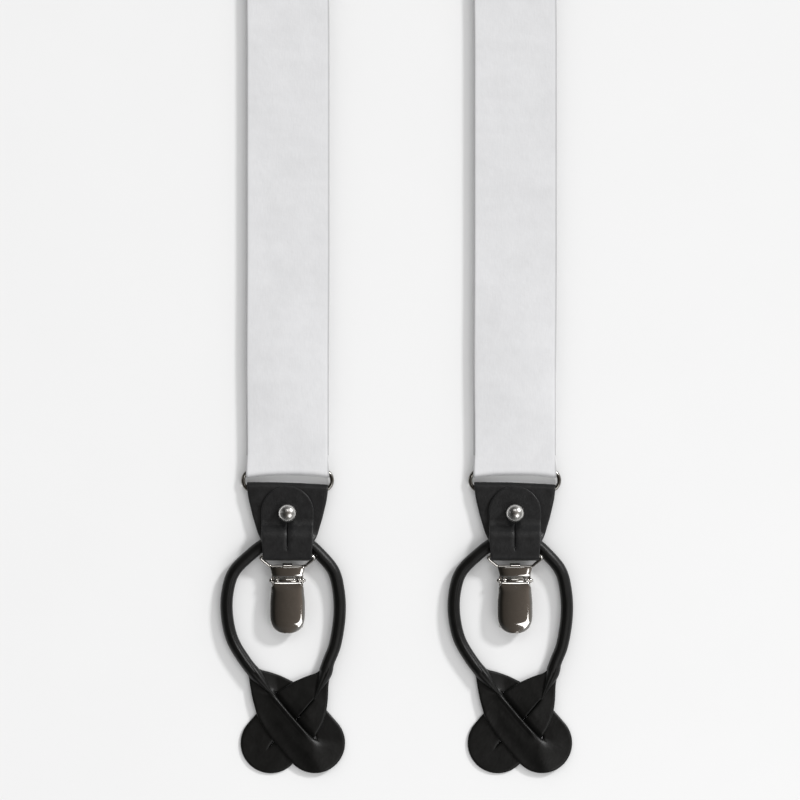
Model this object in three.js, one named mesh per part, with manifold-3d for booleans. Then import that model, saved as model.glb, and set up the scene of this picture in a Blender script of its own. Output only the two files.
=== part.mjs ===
// A pair of button-on suspenders with removable clips, laid flat: two front straps and one back strap
// sewn into a leather patch, each strap ending in a ring, a leather tab, a rolled leather loop with two
// buttonhole paddles, and a clip buttoned on a ball stud. Millimetres, +Z up. The origin is the middle
// of the patch's underside; the front ends lie towards -Y and the back end towards +Y.
import * as THREE from "three";
import { mergeVertices } from "three/addons/utils/BufferGeometryUtils.js";
import Module from "manifold-3d";

const wasm = await Module();
wasm.setup();

// ---------------------------------------------------------------- driving dimensions
const GAP = 0.3; // clearance between pieces that touch or run on each other

const STRAP_WIDTH = 35.6;
const STRAP_THICK = 1.0;
const FRONT_SPREAD = 48.9; // from the middle of the object to the middle of a front strap
const FRONT_STRAIGHT = 256; // from a front ring to where its strap starts to lean inwards
const LEAN = THREE.MathUtils.degToRad(13);
const LEAN_RADIUS = 400;
const BACK_LENGTH = 150; // from the patch to the back ring
const BACK_TAIL = 34; // the back strap's end, sewn under itself
const FRONT_TAIL = 6; // of a front strap's fold, past the ring, before its lower layer
const FOLD_NECK = 8; // from a ring's bar to where its strap has its full width again
const SLOPE = 45; // length over which a front strap climbs to its slider

const RING_WIRE = 0.9; // radius
const RING_HALF_WIDTH = 20.05; // outer
const RING_HALF_HEIGHT = 4.5; // from the middle to a bar's axis
const RING_OVERHANG = 0.95; // how far the folds run on past the ring's straight bars

const PATCH_HALF_LENGTH = 24;
const PATCH_FRONT_HALF = 31;
const PATCH_BACK_HALF = 21;
const PATCH_CORNER = 6;
const PATCH_LEATHER = 1.2;
const PATCH_MARGIN = 18; // from the patch's middle to where the straps' spread is measured
const PATCH_SPREAD = 9; // half the distance between the front straps' middles there

const SLIDER_FROM_RING = 232;
const SLIDER_HALF_LENGTH = 12;
const SLIDER_WALL = 1.0;
const SLIDER_BAR = 0.6; // thickness of the bar that the strap's end is sewn round
const SLIDER_BAR_LENGTH = 4;
const SLIDER_COVER = 1.0;
const SLIDER_PIN = 0.7; // radius

const TAB_LEATHER = 1.0;
const TAB_TOP = -0.9;
const TAB_BOTTOM = -26.4;
const CORD_RADIUS = 2.7;
const SLEEVE_PLAY = 0.35;
const SLEEVE_LEATHER = 0.75;
const SLEEVE_HALF = 9;

const TONGUE_LEATHER = 1.2;
const TONGUE_HALF = 11.35;
const TONGUE_FOOT_HALF = 9.2;
const STUD_Y = -14;
const STUD_RADIUS = 3.9;
const STUD_HEIGHT = 6; // of the ball alone
const STUD_NECK = 1.5; // radius
const STUD_BASE = 3.2; // radius

const LINK_WIRE = 0.62; // radius
const LINK_TOP = { y: -32.4, half: 11.9 };
const LINK_FOOT = { y: -37.0, z: 5.3, half: 7.6 };

const CLIP_PLATE = 0.8;
const CLIP_HALF = 6.75;
const CLIP_HEIGHT = 6.95;
const CLIP_END = -64.5;
const HOOK_HALF = 2.2;
const PIN = { y: -43.0, z: 5.6, radius: 0.75, half: 7.85 };
const KNUCKLE_RADIUS = 1.5;
const KNUCKLE_HALF = 3.6;
const LEVER_END = -65.7;
const LEVER_HALF = 7.3;
const LEVER_THICK = 0.9;
const JAW_Z = 3.3;
const PAD_LENGTH = 8.5;

const PADDLE_THICK = 1.3;
const PADDLE_RADIUS = 13;
const PADDLE_LENGTH = 52.4;
const PADDLE_NECK = 3;
const PADDLE_BULGE = 30; // from the neck to where the paddle reaches its full width
const SLIT_START = 12.3;
const SLIT_END = 39;

// ---------------------------------------------------------------- values that follow
const ringWrap = RING_WIRE + GAP + STRAP_THICK; // radius of the strap's fold round the ring
const ringZ = ringWrap; // the fold rests on the surface
const cornerX = RING_HALF_WIDTH - RING_WIRE - RING_HALF_HEIGHT;
const ringGrip = cornerX + RING_OVERHANG; // half width of the folds round the ring's bars
const faceZ = ringZ + RING_WIRE + GAP; // underside of a strap's upper layer
const foldRadius = RING_WIRE + GAP + STRAP_THICK / 2; // of the middle of the webbing
const tabWrap = RING_WIRE + GAP + TAB_LEATHER;
const sleeveRadius = CORD_RADIUS + SLEEVE_PLAY + SLEEVE_LEATHER;
const sleeveZ = sleeveRadius;
const tunnelRadius = CORD_RADIUS + SLEEVE_PLAY;
const tongueLow = ringZ + tabWrap + GAP;
const tongueHigh = sleeveZ + sleeveRadius + GAP;
const footBarrel = LINK_WIRE + GAP + TONGUE_LEATHER; // radius of the tongue's fold round the link
const linkTopZ = tongueHigh + TONGUE_LEATHER - footBarrel;
const paddleHigh = PADDLE_THICK + 1.5 * GAP;

const patchStrapZ = PATCH_LEATHER + GAP; // the left and back straps lie on the inner leather
const patchCrossZ = patchStrapZ + STRAP_THICK + GAP; // the right strap crosses over the left
const patchOuterZ = patchCrossZ + STRAP_THICK + GAP;
// Where the front straps' middles, carried on, meet the patch's middle, and how far from it each strap
// ends, so that the corner of a leaning front strap clears the back strap.
const meetX = PATCH_SPREAD - PATCH_MARGIN * Math.tan(LEAN);
const patchSeam = (GAP + (STRAP_WIDTH / 2 - meetX) * Math.tan(LEAN)) / 2;

const bendDrop = LEAN_RADIUS * (1 - Math.cos(LEAN));
const leanX = FRONT_SPREAD - bendDrop; // where the leaning run meets the bend
const leanY = -PATCH_MARGIN - (leanX - PATCH_SPREAD) / Math.tan(LEAN);
const bendStartY = leanY - LEAN_RADIUS * Math.sin(LEAN);
const frontRingY = bendStartY - FRONT_STRAIGHT;
const backRingY = PATCH_MARGIN + BACK_LENGTH;
const sliderY = frontRingY + SLIDER_FROM_RING;

// ---------------------------------------------------------------- materials
const paint = (color, roughness, metalness) =>
  new THREE.MeshStandardMaterial({ color, roughness, metalness });
const satin = paint(0xe6e6e9, 0.45, 0);
const blackLeather = paint(0x262626, 0.5, 0);
const nickel = paint(0xc9c9c6, 0.2, 1);
const darkNickel = paint(0x4b4a47, 0.25, 1);
const blackRubber = paint(0x1c1c1c, 0.8, 0);

// ---------------------------------------------------------------- solids
// A closed geometry as a solid that can be cut and joined.
function solid(geometry) {
  const bare = geometry.index ? geometry.toNonIndexed() : geometry;
  const clean = new THREE.BufferGeometry();
  clean.setAttribute("position", bare.getAttribute("position"));
  const merged = mergeVertices(clean, 1e-4);
  return new wasm.Manifold(
    new wasm.Mesh({
      numProp: 3,
      vertProperties: new Float32Array(merged.attributes.position.array),
      triVerts: new Uint32Array(merged.index.array),
    }),
  );
}

function geometryOf(body) {
  const mesh = body.getMesh();
  const geometry = new THREE.BufferGeometry();
  geometry.setAttribute("position", new THREE.BufferAttribute(mesh.vertProperties, 3));
  geometry.setIndex(new THREE.BufferAttribute(mesh.triVerts, 1));
  const flat = geometry.toNonIndexed();
  flat.computeVertexNormals();
  return flat;
}

function shapeOf(points) {
  return new THREE.Shape(points.map(([a, b]) => new THREE.Vector2(a, b)));
}

// An outline in X and Y, raised from z0 to z1.
function plate(shape, z0, z1, curveSegments = 6) {
  const options = { depth: z1 - z0, bevelEnabled: false, curveSegments };
  return new THREE.ExtrudeGeometry(shape, options).translate(0, 0, z0);
}

// A side profile in Y and Z, run along X from x0 to x1.
function across(shape, x0, x1, curveSegments = 6) {
  const options = { depth: x1 - x0, bevelEnabled: false, curveSegments };
  const turn = new THREE.Matrix4().makeBasis(
    new THREE.Vector3(0, 1, 0),
    new THREE.Vector3(0, 0, 1),
    new THREE.Vector3(1, 0, 0),
  );
  return new THREE.ExtrudeGeometry(shape, options).applyMatrix4(turn).translate(x0, 0, 0);
}

function block(x0, x1, y0, y1, z0, z1) {
  const box = new THREE.BoxGeometry(x1 - x0, y1 - y0, z1 - z0);
  return box.translate((x0 + x1) / 2, (y0 + y1) / 2, (z0 + z1) / 2);
}

// A round bar along X.
function bar(x0, x1, y, z, radius, sides = 8) {
  const round = new THREE.CylinderGeometry(radius, radius, x1 - x0, sides);
  return round.rotateZ(Math.PI / 2).translate((x0 + x1) / 2, y, z);
}

// A round bar between two points, which may taper.
function taper(from, to, radiusFrom, radiusTo, sides = 10) {
  const along = new THREE.Vector3().subVectors(to, from);
  const round = new THREE.CylinderGeometry(radiusTo, radiusFrom, along.length(), sides);
  const up = new THREE.Vector3(0, 1, 0);
  const turn = new THREE.Quaternion().setFromUnitVectors(up, along.clone().normalize());
  const middle = new THREE.Vector3().addVectors(from, to).multiplyScalar(0.5);
  return round.applyQuaternion(turn).translate(middle.x, middle.y, middle.z);
}

function tube(curve, steps, radius, sides = 8) {
  const section = new THREE.Shape();
  section.absarc(0, 0, radius, 0, 2 * Math.PI);
  const options = {
    steps,
    extrudePath: curve,
    bevelEnabled: false,
    curveSegments: sides / 2,
  };
  return new THREE.ExtrudeGeometry(section, options);
}

// A closed sheet of even thickness over a grid of points, which are its underside.
function sheet(rows, columns, point, thickness) {
  const corners = [];
  const at = (top, i, j) => (top * rows + i) * columns + j;
  for (const lift of [0, thickness])
    for (let i = 0; i < rows; i++)
      for (let j = 0; j < columns; j++) {
        const [x, y, z] = point(i, j);
        corners.push(x, y, z + lift);
      }
  const index = [];
  const quad = (a, b, c, d) => index.push(a, b, c, a, c, d);
  for (let i = 0; i < rows - 1; i++)
    for (let j = 0; j < columns - 1; j++) {
      quad(at(1, i, j), at(1, i + 1, j), at(1, i + 1, j + 1), at(1, i, j + 1));
      quad(at(0, i, j), at(0, i, j + 1), at(0, i + 1, j + 1), at(0, i + 1, j));
    }
  const last = columns - 1;
  for (let i = 0; i < rows - 1; i++) {
    quad(at(0, i, 0), at(0, i + 1, 0), at(1, i + 1, 0), at(1, i, 0));
    quad(at(0, i + 1, last), at(0, i, last), at(1, i, last), at(1, i + 1, last));
  }
  const end = rows - 1;
  for (let j = 0; j < columns - 1; j++) {
    quad(at(0, 0, j + 1), at(0, 0, j), at(1, 0, j), at(1, 0, j + 1));
    quad(at(0, end, j), at(0, end, j + 1), at(1, end, j + 1), at(1, end, j));
  }
  return indexed(corners, index);
}

function indexed(corners, index) {
  const geometry = new THREE.BufferGeometry();
  geometry.setAttribute("position", new THREE.Float32BufferAttribute(corners, 3));
  geometry.setIndex(index);
  return geometry;
}

// Webbing along a line of points, each with the direction of its width there and its half width.
function webbing(line, thickness) {
  const corners = [];
  line.forEach(({ at, side, half }, i) => {
    const ahead = line[Math.min(i + 1, line.length - 1)].at;
    const behind = line[Math.max(i - 1, 0)].at;
    const along = new THREE.Vector3().subVectors(ahead, behind).normalize();
    const up = new THREE.Vector3().crossVectors(side, along).normalize();
    for (const [a, b] of [[-1, -1], [1, -1], [1, 1], [-1, 1]]) {
      const corner = at.clone().addScaledVector(side, a * half);
      corner.addScaledVector(up, (b * thickness) / 2);
      corners.push(corner.x, corner.y, corner.z);
    }
  });
  const index = [];
  for (let i = 0; i < line.length - 1; i++)
    for (let k = 0; k < 4; k++) {
      const a = 4 * i + k;
      const b = 4 * i + ((k + 1) % 4);
      index.push(a, b, b + 4, a, b + 4, a + 4);
    }
  const end = 4 * (line.length - 1);
  index.push(0, 2, 1, 0, 3, 2, end, end + 1, end + 2, end, end + 2, end + 3);
  return indexed(corners, index);
}

// The same geometry, turned to face out if it was made inside out.
function solidGeometry(geometry) {
  const index = geometry.index.array;
  const p = geometry.attributes.position;
  const [a, b, c] = [0, 1, 2].map(() => new THREE.Vector3());
  let volume = 0;
  for (let i = 0; i < index.length; i += 3) {
    a.fromBufferAttribute(p, index[i]);
    b.fromBufferAttribute(p, index[i + 1]);
    c.fromBufferAttribute(p, index[i + 2]);
    volume += a.dot(b.cross(c));
  }
  if (volume < 0)
    for (let i = 0; i < index.length; i += 3)
      [index[i + 1], index[i + 2]] = [index[i + 2], index[i + 1]];
  return geometry;
}

function node(name, geometry, material) {
  const mesh = new THREE.Mesh(geometry, material);
  mesh.name = name;
  return mesh;
}

// ---------------------------------------------------------------- straps
const sideways = new THREE.Vector3(1, 0, 0);

// Height that changes in straight steps: a list of [distance, height].
function heightAt(steps, where) {
  for (let i = 1; i < steps.length; i++) {
    const [a, low] = steps[i - 1];
    const [b, high] = steps[i];
    if (where <= b) return low + ((high - low) * Math.max(0, where - a)) / (b - a);
  }
  return steps[steps.length - 1][1];
}

// The fold round a ring bar at y, with the strap towards +Y on top: from the upper layer to the lower.
function foldPoints(y, z, steps = 6) {
  const points = [];
  for (let k = 0; k <= steps; k++) {
    const turn = Math.PI / 2 + (Math.PI * k) / steps;
    points.push({
      at: new THREE.Vector3(0, y + foldRadius * Math.cos(turn), z + foldRadius * Math.sin(turn)),
      side: sideways,
      half: ringGrip,
    });
  }
  return points;
}

// A front strap's middle line in plan, as distances from the patch: returns [x, y, heading].
function frontPlan(y, hand) {
  if (y > leanY) {
    const x = PATCH_SPREAD + (-PATCH_MARGIN - y) * Math.tan(LEAN);
    return [hand * x, LEAN * hand];
  }
  if (y > bendStartY) {
    const turn = Math.asin((y - bendStartY) / LEAN_RADIUS);
    return [hand * (FRONT_SPREAD - LEAN_RADIUS * (1 - Math.cos(turn))), turn * hand];
  }
  return [hand * FRONT_SPREAD, 0];
}

// Undersides of the two front straps by distance in front of the patch's middle.
const sliderEdge = -sliderY - SLIDER_HALF_LENGTH;
const leftHeights = [
  [28, patchStrapZ],
  [48, 0],
  [sliderEdge - SLOPE, 0],
  [sliderEdge - 8, faceZ],
];
const rightHeights = [
  [45, patchCrossZ],
  [62, STRAP_THICK + 1.5 * GAP],
  [100, 0],
  [sliderEdge - SLOPE, 0],
  [sliderEdge - 8, faceZ],
];

function frontStrap(name, hand, heights) {
  const line = [];
  const stations = [patchSeam, 16, 28, 38, 45, 48, 62, 80, 100, 126, -leanY];
  const bendSteps = 5;
  for (let k = 1; k <= bendSteps; k++)
    stations.push(-leanY + ((leanY - bendStartY) * k) / bendSteps);
  stations.splice(stations.length - 2, 0, sliderEdge - SLOPE);
  stations.push(sliderEdge - 8, sliderEdge);
  const neckY = frontRingY + RING_HALF_HEIGHT;
  const sorted = [...new Set(stations)].sort((a, b) => a - b);
  for (const distance of sorted) {
    const [x, heading] = frontPlan(-distance, hand);
    line.push({
      at: new THREE.Vector3(x, -distance, heightAt(heights, distance) + STRAP_THICK / 2),
      side: new THREE.Vector3(Math.cos(heading), Math.sin(heading), 0),
      half: STRAP_WIDTH / 2,
    });
  }
  line.push({
    at: new THREE.Vector3(hand * FRONT_SPREAD, neckY + FOLD_NECK, faceZ + STRAP_THICK / 2),
    side: sideways,
    half: STRAP_WIDTH / 2,
  });
  for (const point of foldPoints(neckY, ringZ)) {
    point.at.x = hand * FRONT_SPREAD;
    line.push(point);
  }
  line.push({
    at: new THREE.Vector3(hand * FRONT_SPREAD, neckY + FRONT_TAIL, STRAP_THICK / 2),
    side: sideways,
    half: ringGrip,
  });
  return node(name, solidGeometry(webbing(line, STRAP_THICK)), satin);
}

// A front strap's lower layer, from behind the ring up to the slider's bar, round it and back.
const barY = sliderY - SLIDER_HALF_LENGTH + 2 + SLIDER_BAR_LENGTH / 2;
const barZ = STRAP_THICK + GAP + SLIDER_BAR / 2;
function strapReturn(name, hand) {
  const x = hand * FRONT_SPREAD;
  const fold = SLIDER_BAR / 2 + GAP + STRAP_THICK / 2;
  const at = (y, z) => ({
    at: new THREE.Vector3(x, y, z),
    side: sideways,
    half: STRAP_WIDTH / 2,
  });
  const edge = barY + SLIDER_BAR_LENGTH / 2;
  const line = [
    at(frontRingY + RING_HALF_HEIGHT + FRONT_TAIL + GAP, STRAP_THICK / 2),
    at(edge, barZ - fold),
  ];
  for (const turn of [-45, 0, 45]) {
    const a = THREE.MathUtils.degToRad(turn);
    line.push(at(edge + fold * Math.cos(a), barZ + fold * Math.sin(a)));
  }
  line.push(at(edge, barZ + fold), at(barY - SLIDER_BAR_LENGTH / 2 - 10, barZ + fold));
  return node(name, solidGeometry(webbing(line, STRAP_THICK)), satin);
}

function backStrap(name) {
  const ring = backRingY - RING_HALF_HEIGHT;
  const flat = (y, z, half) => ({
    at: new THREE.Vector3(0, y, z + STRAP_THICK / 2),
    side: sideways,
    half,
  });
  const wide = STRAP_WIDTH / 2;
  const line = [
    flat(patchSeam, patchStrapZ, wide),
    flat(28, patchStrapZ, wide),
    flat(48, 0, wide),
    flat(ring - BACK_TAIL - SLOPE, 0, wide),
    flat(ring - BACK_TAIL, faceZ, wide),
    flat(ring - FOLD_NECK, faceZ, wide),
  ];
  for (const point of foldPoints(ring, ringZ)) {
    point.at.y = 2 * ring - point.at.y;
    line.push(point);
  }
  line.push(
    flat(ring - FOLD_NECK, 0.2, wide),
    flat(ring - 20, faceZ - STRAP_THICK - GAP, wide),
    flat(ring - BACK_TAIL, faceZ - STRAP_THICK - GAP, wide),
  );
  return node(name, solidGeometry(webbing(line, STRAP_THICK)), satin);
}

// ---------------------------------------------------------------- patch
function patchShape() {
  const r = PATCH_CORNER;
  const front = PATCH_FRONT_HALF;
  const back = PATCH_BACK_HALF;
  const end = PATCH_HALF_LENGTH;
  const shape = new THREE.Shape();
  shape.moveTo(-front + r, -end);
  shape.lineTo(front - r, -end);
  shape.quadraticCurveTo(front, -end, front - 0.6, -end + r);
  shape.lineTo(back + 0.6, end - r);
  shape.quadraticCurveTo(back, end, back - r, end);
  shape.lineTo(-back + r, end);
  shape.quadraticCurveTo(-back, end, -back - 0.6, end - r);
  shape.lineTo(-front + 0.6, -end + r);
  shape.quadraticCurveTo(-front, -end, -front + r, -end);
  return shape;
}

function patch() {
  const shape = patchShape();
  const layer = (name, z) => node(name, plate(shape, z, z + PATCH_LEATHER), blackLeather);
  return [layer("patch_inner_leather", 0), layer("patch_outer_leather", patchOuterZ)];
}

// ---------------------------------------------------------------- sliders
const wallX = STRAP_WIDTH / 2 + 2 * GAP;
const strapTop = faceZ + STRAP_THICK;
const sliderPin = { y: SLIDER_HALF_LENGTH - 3, z: strapTop + GAP + 1.6 };
const pinSeat = SLIDER_PIN + 0.2;

function sliderFrame(name) {
  const long = SLIDER_HALF_LENGTH;
  const low = barZ - SLIDER_BAR / 2;
  const barAt = barY - sliderY;
  const wall = (x) =>
    solid(block(x, x + SLIDER_WALL, -long, long, low, sliderPin.z + 1.8)).subtract(
      solid(bar(x - 1, x + SLIDER_WALL + 1, sliderPin.y, sliderPin.z, pinSeat)),
    );
  const cross = (y, length, z0, z1) =>
    solid(block(-wallX - 0.5, wallX + 0.5, y - length / 2, y + length / 2, z0, z1));
  const anvilTop = faceZ - GAP;
  return node(
    name,
    geometryOf(
      wall(-wallX - SLIDER_WALL)
        .add(wall(wallX))
        .add(cross(barAt, SLIDER_BAR_LENGTH, low, low + SLIDER_BAR))
        .add(cross(long - 2, 4, anvilTop - 1.1, anvilTop)),
    ),
    nickel,
  );
}

function sliderCover(name) {
  const half = wallX - GAP;
  const lug = wallX - GAP - 1.6;
  const z = sliderPin.z;
  const low = z + 0.2;
  const end = sliderPin.y + 1.2;
  const cover = solid(block(-half, half, -SLIDER_HALF_LENGTH, end, low, low + SLIDER_COVER));
  const knuckle = (x0, x1) => solid(bar(x0, x1, sliderPin.y, z, 1.3));
  const hole = solid(bar(-half - 1, half + 1, sliderPin.y, z, pinSeat));
  const bite = sliderPin.y - 3.2;
  const teeth = solid(block(-lug + 2, lug - 2, bite, bite + 1, strapTop + GAP, z + 0.6));
  return node(
    name,
    geometryOf(cover.add(knuckle(-half, -lug)).add(knuckle(lug, half)).subtract(hole).add(teeth)),
    nickel,
  );
}

function slider(side, hand) {
  const group = new THREE.Group();
  group.position.set(hand * FRONT_SPREAD, sliderY, 0);
  group.add(sliderFrame(side + "_slider_frame"));
  group.add(sliderCover(side + "_slider_lever"));
  const reach = wallX + SLIDER_WALL + 0.4;
  const pin = bar(-reach, reach, sliderPin.y, sliderPin.z, SLIDER_PIN);
  group.add(node(side + "_slider_pin", pin, nickel));
  return group;
}

// ---------------------------------------------------------------- ring
// The middle line of an oval ring: two straight bars joined by half circles.
class Oval extends THREE.Curve {
  getPoint(t, target = new THREE.Vector3()) {
    const arc = Math.PI * RING_HALF_HEIGHT;
    const total = 4 * cornerX + 2 * arc;
    const stops = [cornerX, cornerX + arc, 3 * cornerX + arc, 3 * cornerX + 2 * arc];
    const s = (t % 1) * total;
    if (s < stops[0]) return target.set(s, -RING_HALF_HEIGHT, ringZ);
    if (s < stops[1]) return this.end(target, (s - stops[0]) / RING_HALF_HEIGHT - Math.PI / 2, 1);
    if (s < stops[2]) return target.set(cornerX - (s - stops[1]), RING_HALF_HEIGHT, ringZ);
    if (s < stops[3]) return this.end(target, (s - stops[2]) / RING_HALF_HEIGHT + Math.PI / 2, -1);
    return target.set(s - total, -RING_HALF_HEIGHT, ringZ);
  }

  end(target, turn, hand) {
    const x = hand * cornerX + RING_HALF_HEIGHT * Math.cos(turn);
    return target.set(x, RING_HALF_HEIGHT * Math.sin(turn), ringZ);
  }
}

function strapRing(name) {
  return node(name, new THREE.TubeGeometry(new Oval(), 40, RING_WIRE, 7, true), darkNickel);
}

// ---------------------------------------------------------------- loop
// The rolled leather cord's route, from the left paddle up through the tab to the right paddle.
const cordPoints = [
  [-14.4, -82.8],
  [-18.3, -77.8],
  [-23.7, -68.6],
  [-26.1, -57.8],
  [-25.8, -47.9],
  [-23.2, -39.6],
  [-16.3, -32.3],
  [-9, -27.0],
  [0, -24.8],
  [8.4, -27.1],
  [14.8, -32.7],
  [19.8, -39.1],
  [21.9, -47.1],
  [22.4, -57.8],
  [20.3, -71.2],
  [17.9, -77.4],
  [16.1, -82.3],
];
const cordCurve = new THREE.CatmullRomCurve3(
  cordPoints.map(([x, y]) => {
    const rise = THREE.MathUtils.smoothstep(y, -46, -30);
    return new THREE.Vector3(x, y, CORD_RADIUS + (sleeveZ - CORD_RADIUS) * rise);
  }),
);

function loopCord(name) {
  return node(name, tube(cordCurve, 30, CORD_RADIUS, 8), blackLeather);
}

// A stretch of the cord's route, reaching a number of route points either side of its middle.
const cordMiddle = cordPoints.findIndex(([x]) => x === 0);
class CordStretch extends THREE.Curve {
  constructor(reach) {
    super();
    this.reach = reach;
  }

  getPoint(t, target = new THREE.Vector3()) {
    const where = cordMiddle + this.reach * (2 * t - 1);
    return cordCurve.getPoint(where / (cordPoints.length - 1), target);
  }
}

// ---------------------------------------------------------------- tab
function tabSide() {
  const shape = new THREE.Shape();
  const foldY = TAB_TOP - tabWrap;
  shape.moveTo(foldY, ringZ - tabWrap);
  shape.absarc(foldY, ringZ, tabWrap, -Math.PI / 2, Math.PI / 2);
  shape.lineTo(-10, ringZ + tabWrap - 0.4);
  shape.lineTo(TAB_BOTTOM, ringZ + tabWrap);
  shape.lineTo(TAB_BOTTOM, 1.0);
  shape.lineTo(-10, 1.2);
  return shape;
}

function tabShape() {
  const half = [
    [ringGrip, TAB_TOP + 1],
    [ringGrip, -11.5],
    [14.8, -16],
    [13.3, -21.3],
    [SLEEVE_HALF, TAB_BOTTOM - 0.5],
  ];
  return shapeOf([...half.map(([x, y]) => [-x, y]), ...half.reverse()]);
}

function tab(name) {
  const steps = 8;
  const profile = solid(across(tabSide(), -ringGrip - 1, ringGrip + 1));
  const outline = solid(plate(tabShape(), -1, 12));
  const sleeve = solid(tube(new CordStretch(1), steps, sleeveRadius, 12));
  const tunnel = solid(tube(new CordStretch(2), steps * 2, tunnelRadius, 12));
  const channel = solid(bar(-30, 30, -RING_HALF_HEIGHT, ringZ, RING_WIRE + GAP));
  const rivet = solid(taper(
    new THREE.Vector3(0, STUD_Y, -1),
    new THREE.Vector3(0, STUD_Y, 12),
    STUD_NECK + GAP,
    STUD_NECK + GAP,
    12,
  ));
  const body = profile.intersect(outline).add(sleeve);
  return node(name, geometryOf(body.subtract(tunnel).subtract(channel).subtract(rivet)), blackLeather);
}

// ---------------------------------------------------------------- tongue and stud
function tongueSide() {
  const t = TONGUE_LEATHER;
  const top = tongueHigh + t;
  const shape = new THREE.Shape();
  shape.moveTo(-1, tongueLow);
  shape.lineTo(-1, tongueLow + t);
  shape.lineTo(-17.4, tongueLow + t);
  shape.lineTo(-21.6, top);
  shape.lineTo(LINK_TOP.y, top);
  shape.absarc(LINK_TOP.y, top - footBarrel, footBarrel, Math.PI / 2, 1.5 * Math.PI);
  shape.absarc(LINK_TOP.y, top - footBarrel, footBarrel, -Math.PI / 2, 0.2);
  shape.lineTo(LINK_TOP.y + footBarrel, tongueHigh);
  shape.lineTo(-22.2, tongueHigh);
  shape.lineTo(-18, tongueLow);
  return shape;
}

function tongueShape() {
  const shape = new THREE.Shape();
  const foot = LINK_TOP.y - footBarrel - 1;
  shape.moveTo(-TONGUE_FOOT_HALF, foot);
  shape.lineTo(TONGUE_FOOT_HALF, foot);
  shape.lineTo(TONGUE_FOOT_HALF, LINK_TOP.y + footBarrel);
  shape.lineTo(TONGUE_HALF, STUD_Y);
  shape.absarc(0, STUD_Y, TONGUE_HALF, 0, Math.PI);
  shape.lineTo(-TONGUE_FOOT_HALF, LINK_TOP.y + footBarrel);
  return shape;
}

function tongue(name) {
  const cut = solid(plate(tongueShape(), 0, 20, 8));
  const body = solid(across(tongueSide(), -TONGUE_HALF - 1, TONGUE_HALF + 1, 5)).intersect(cut);
  const channel = solid(bar(-20, 20, LINK_TOP.y, linkTopZ, LINK_WIRE + 0.25));
  const hole = solid(taper(
    new THREE.Vector3(0, STUD_Y, 0),
    new THREE.Vector3(0, STUD_Y, 20),
    STUD_NECK + 2 * GAP,
    STUD_NECK + 2 * GAP,
  ));
  const slit = solid(block(-0.35, 0.35, -29.9, STUD_Y, 0, 20));
  return node(name, geometryOf(body.subtract(channel).subtract(hole).subtract(slit)), blackLeather);
}

const ballLow = tongueLow + TONGUE_LEATHER + GAP;

// A flattened ball on a neck, and the rivet that holds it through the tab.
function studBall(name) {
  const profile = [new THREE.Vector2(0, ballLow - 0.8)];
  profile.push(new THREE.Vector2(STUD_NECK, ballLow - 0.8));
  const middle = ballLow + STUD_HEIGHT / 2;
  for (let k = 0; k <= 6; k++) {
    const turn = -0.38 * Math.PI + (0.88 * Math.PI * k) / 6;
    profile.push(
      new THREE.Vector2(
        k === 6 ? 0 : STUD_RADIUS * Math.cos(turn),
        middle + (STUD_HEIGHT / 2) * Math.sin(turn),
      ),
    );
  }
  const ball = new THREE.LatheGeometry(profile, 12).rotateX(Math.PI / 2);
  return node(name, ball.translate(0, STUD_Y, 0), nickel);
}

function studRivet(name) {
  const top = ballLow - 0.8 - GAP;
  const profile = [
    [0, 0.2],
    [STUD_BASE, 0.2],
    [STUD_BASE, 0.8],
    [STUD_NECK, 0.8],
    [STUD_NECK, top],
    [0, top],
  ].map(([r, z]) => new THREE.Vector2(r, z));
  const rivet = new THREE.LatheGeometry(profile, 10).rotateX(Math.PI / 2);
  return node(name, rivet.translate(0, STUD_Y, 0), nickel);
}

// ---------------------------------------------------------------- paddles
function paddleHalf(u) {
  const capStart = PADDLE_LENGTH - PADDLE_RADIUS;
  if (u > capStart) return Math.sqrt(Math.max(PADDLE_RADIUS ** 2 - (u - capStart) ** 2, 1.5));
  if (u > PADDLE_BULGE) return PADDLE_RADIUS;
  const swell = Math.sin((Math.PI / 2) * (u / PADDLE_BULGE)) ** 0.75;
  return PADDLE_NECK + (PADDLE_RADIUS - PADDLE_NECK) * swell;
}

// Each paddle's axis, and the run of the rolled ridge that the cord becomes on it.
const left = {
  root: [-14.3, -83],
  along: [0.655, -0.756],
  neck: [-13.9, -83.5],
  ridgeEnd: [-5.8, -93],
};
const right = {
  root: [17.5, -84],
  along: [-0.647, -0.763],
  neck: [15.7, -83.5],
  ridgeEnd: [12, -93],
};
// Across the left paddle, towards the upper right, from its slit.
function acrossLeft(x, y) {
  const [a, b] = left.along;
  return -b * (x - left.root[0]) + a * (y - left.root[1]);
}

// The two paddles pass through each other at the left one's slit: left of the slit the left paddle is
// on top, right of it the right paddle is.
const SLIT_MIDDLE = 1.2;
const SLIT_HALF = 1.7;
function share(v, half) {
  return THREE.MathUtils.smoothstep(v, SLIT_MIDDLE - half, SLIT_MIDDLE + half);
}

function place({ root, along }, u, v) {
  const [a, b] = along;
  return [root[0] + a * u - b * v * Math.sign(a), root[1] + b * u + Math.abs(a) * v];
}

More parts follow.
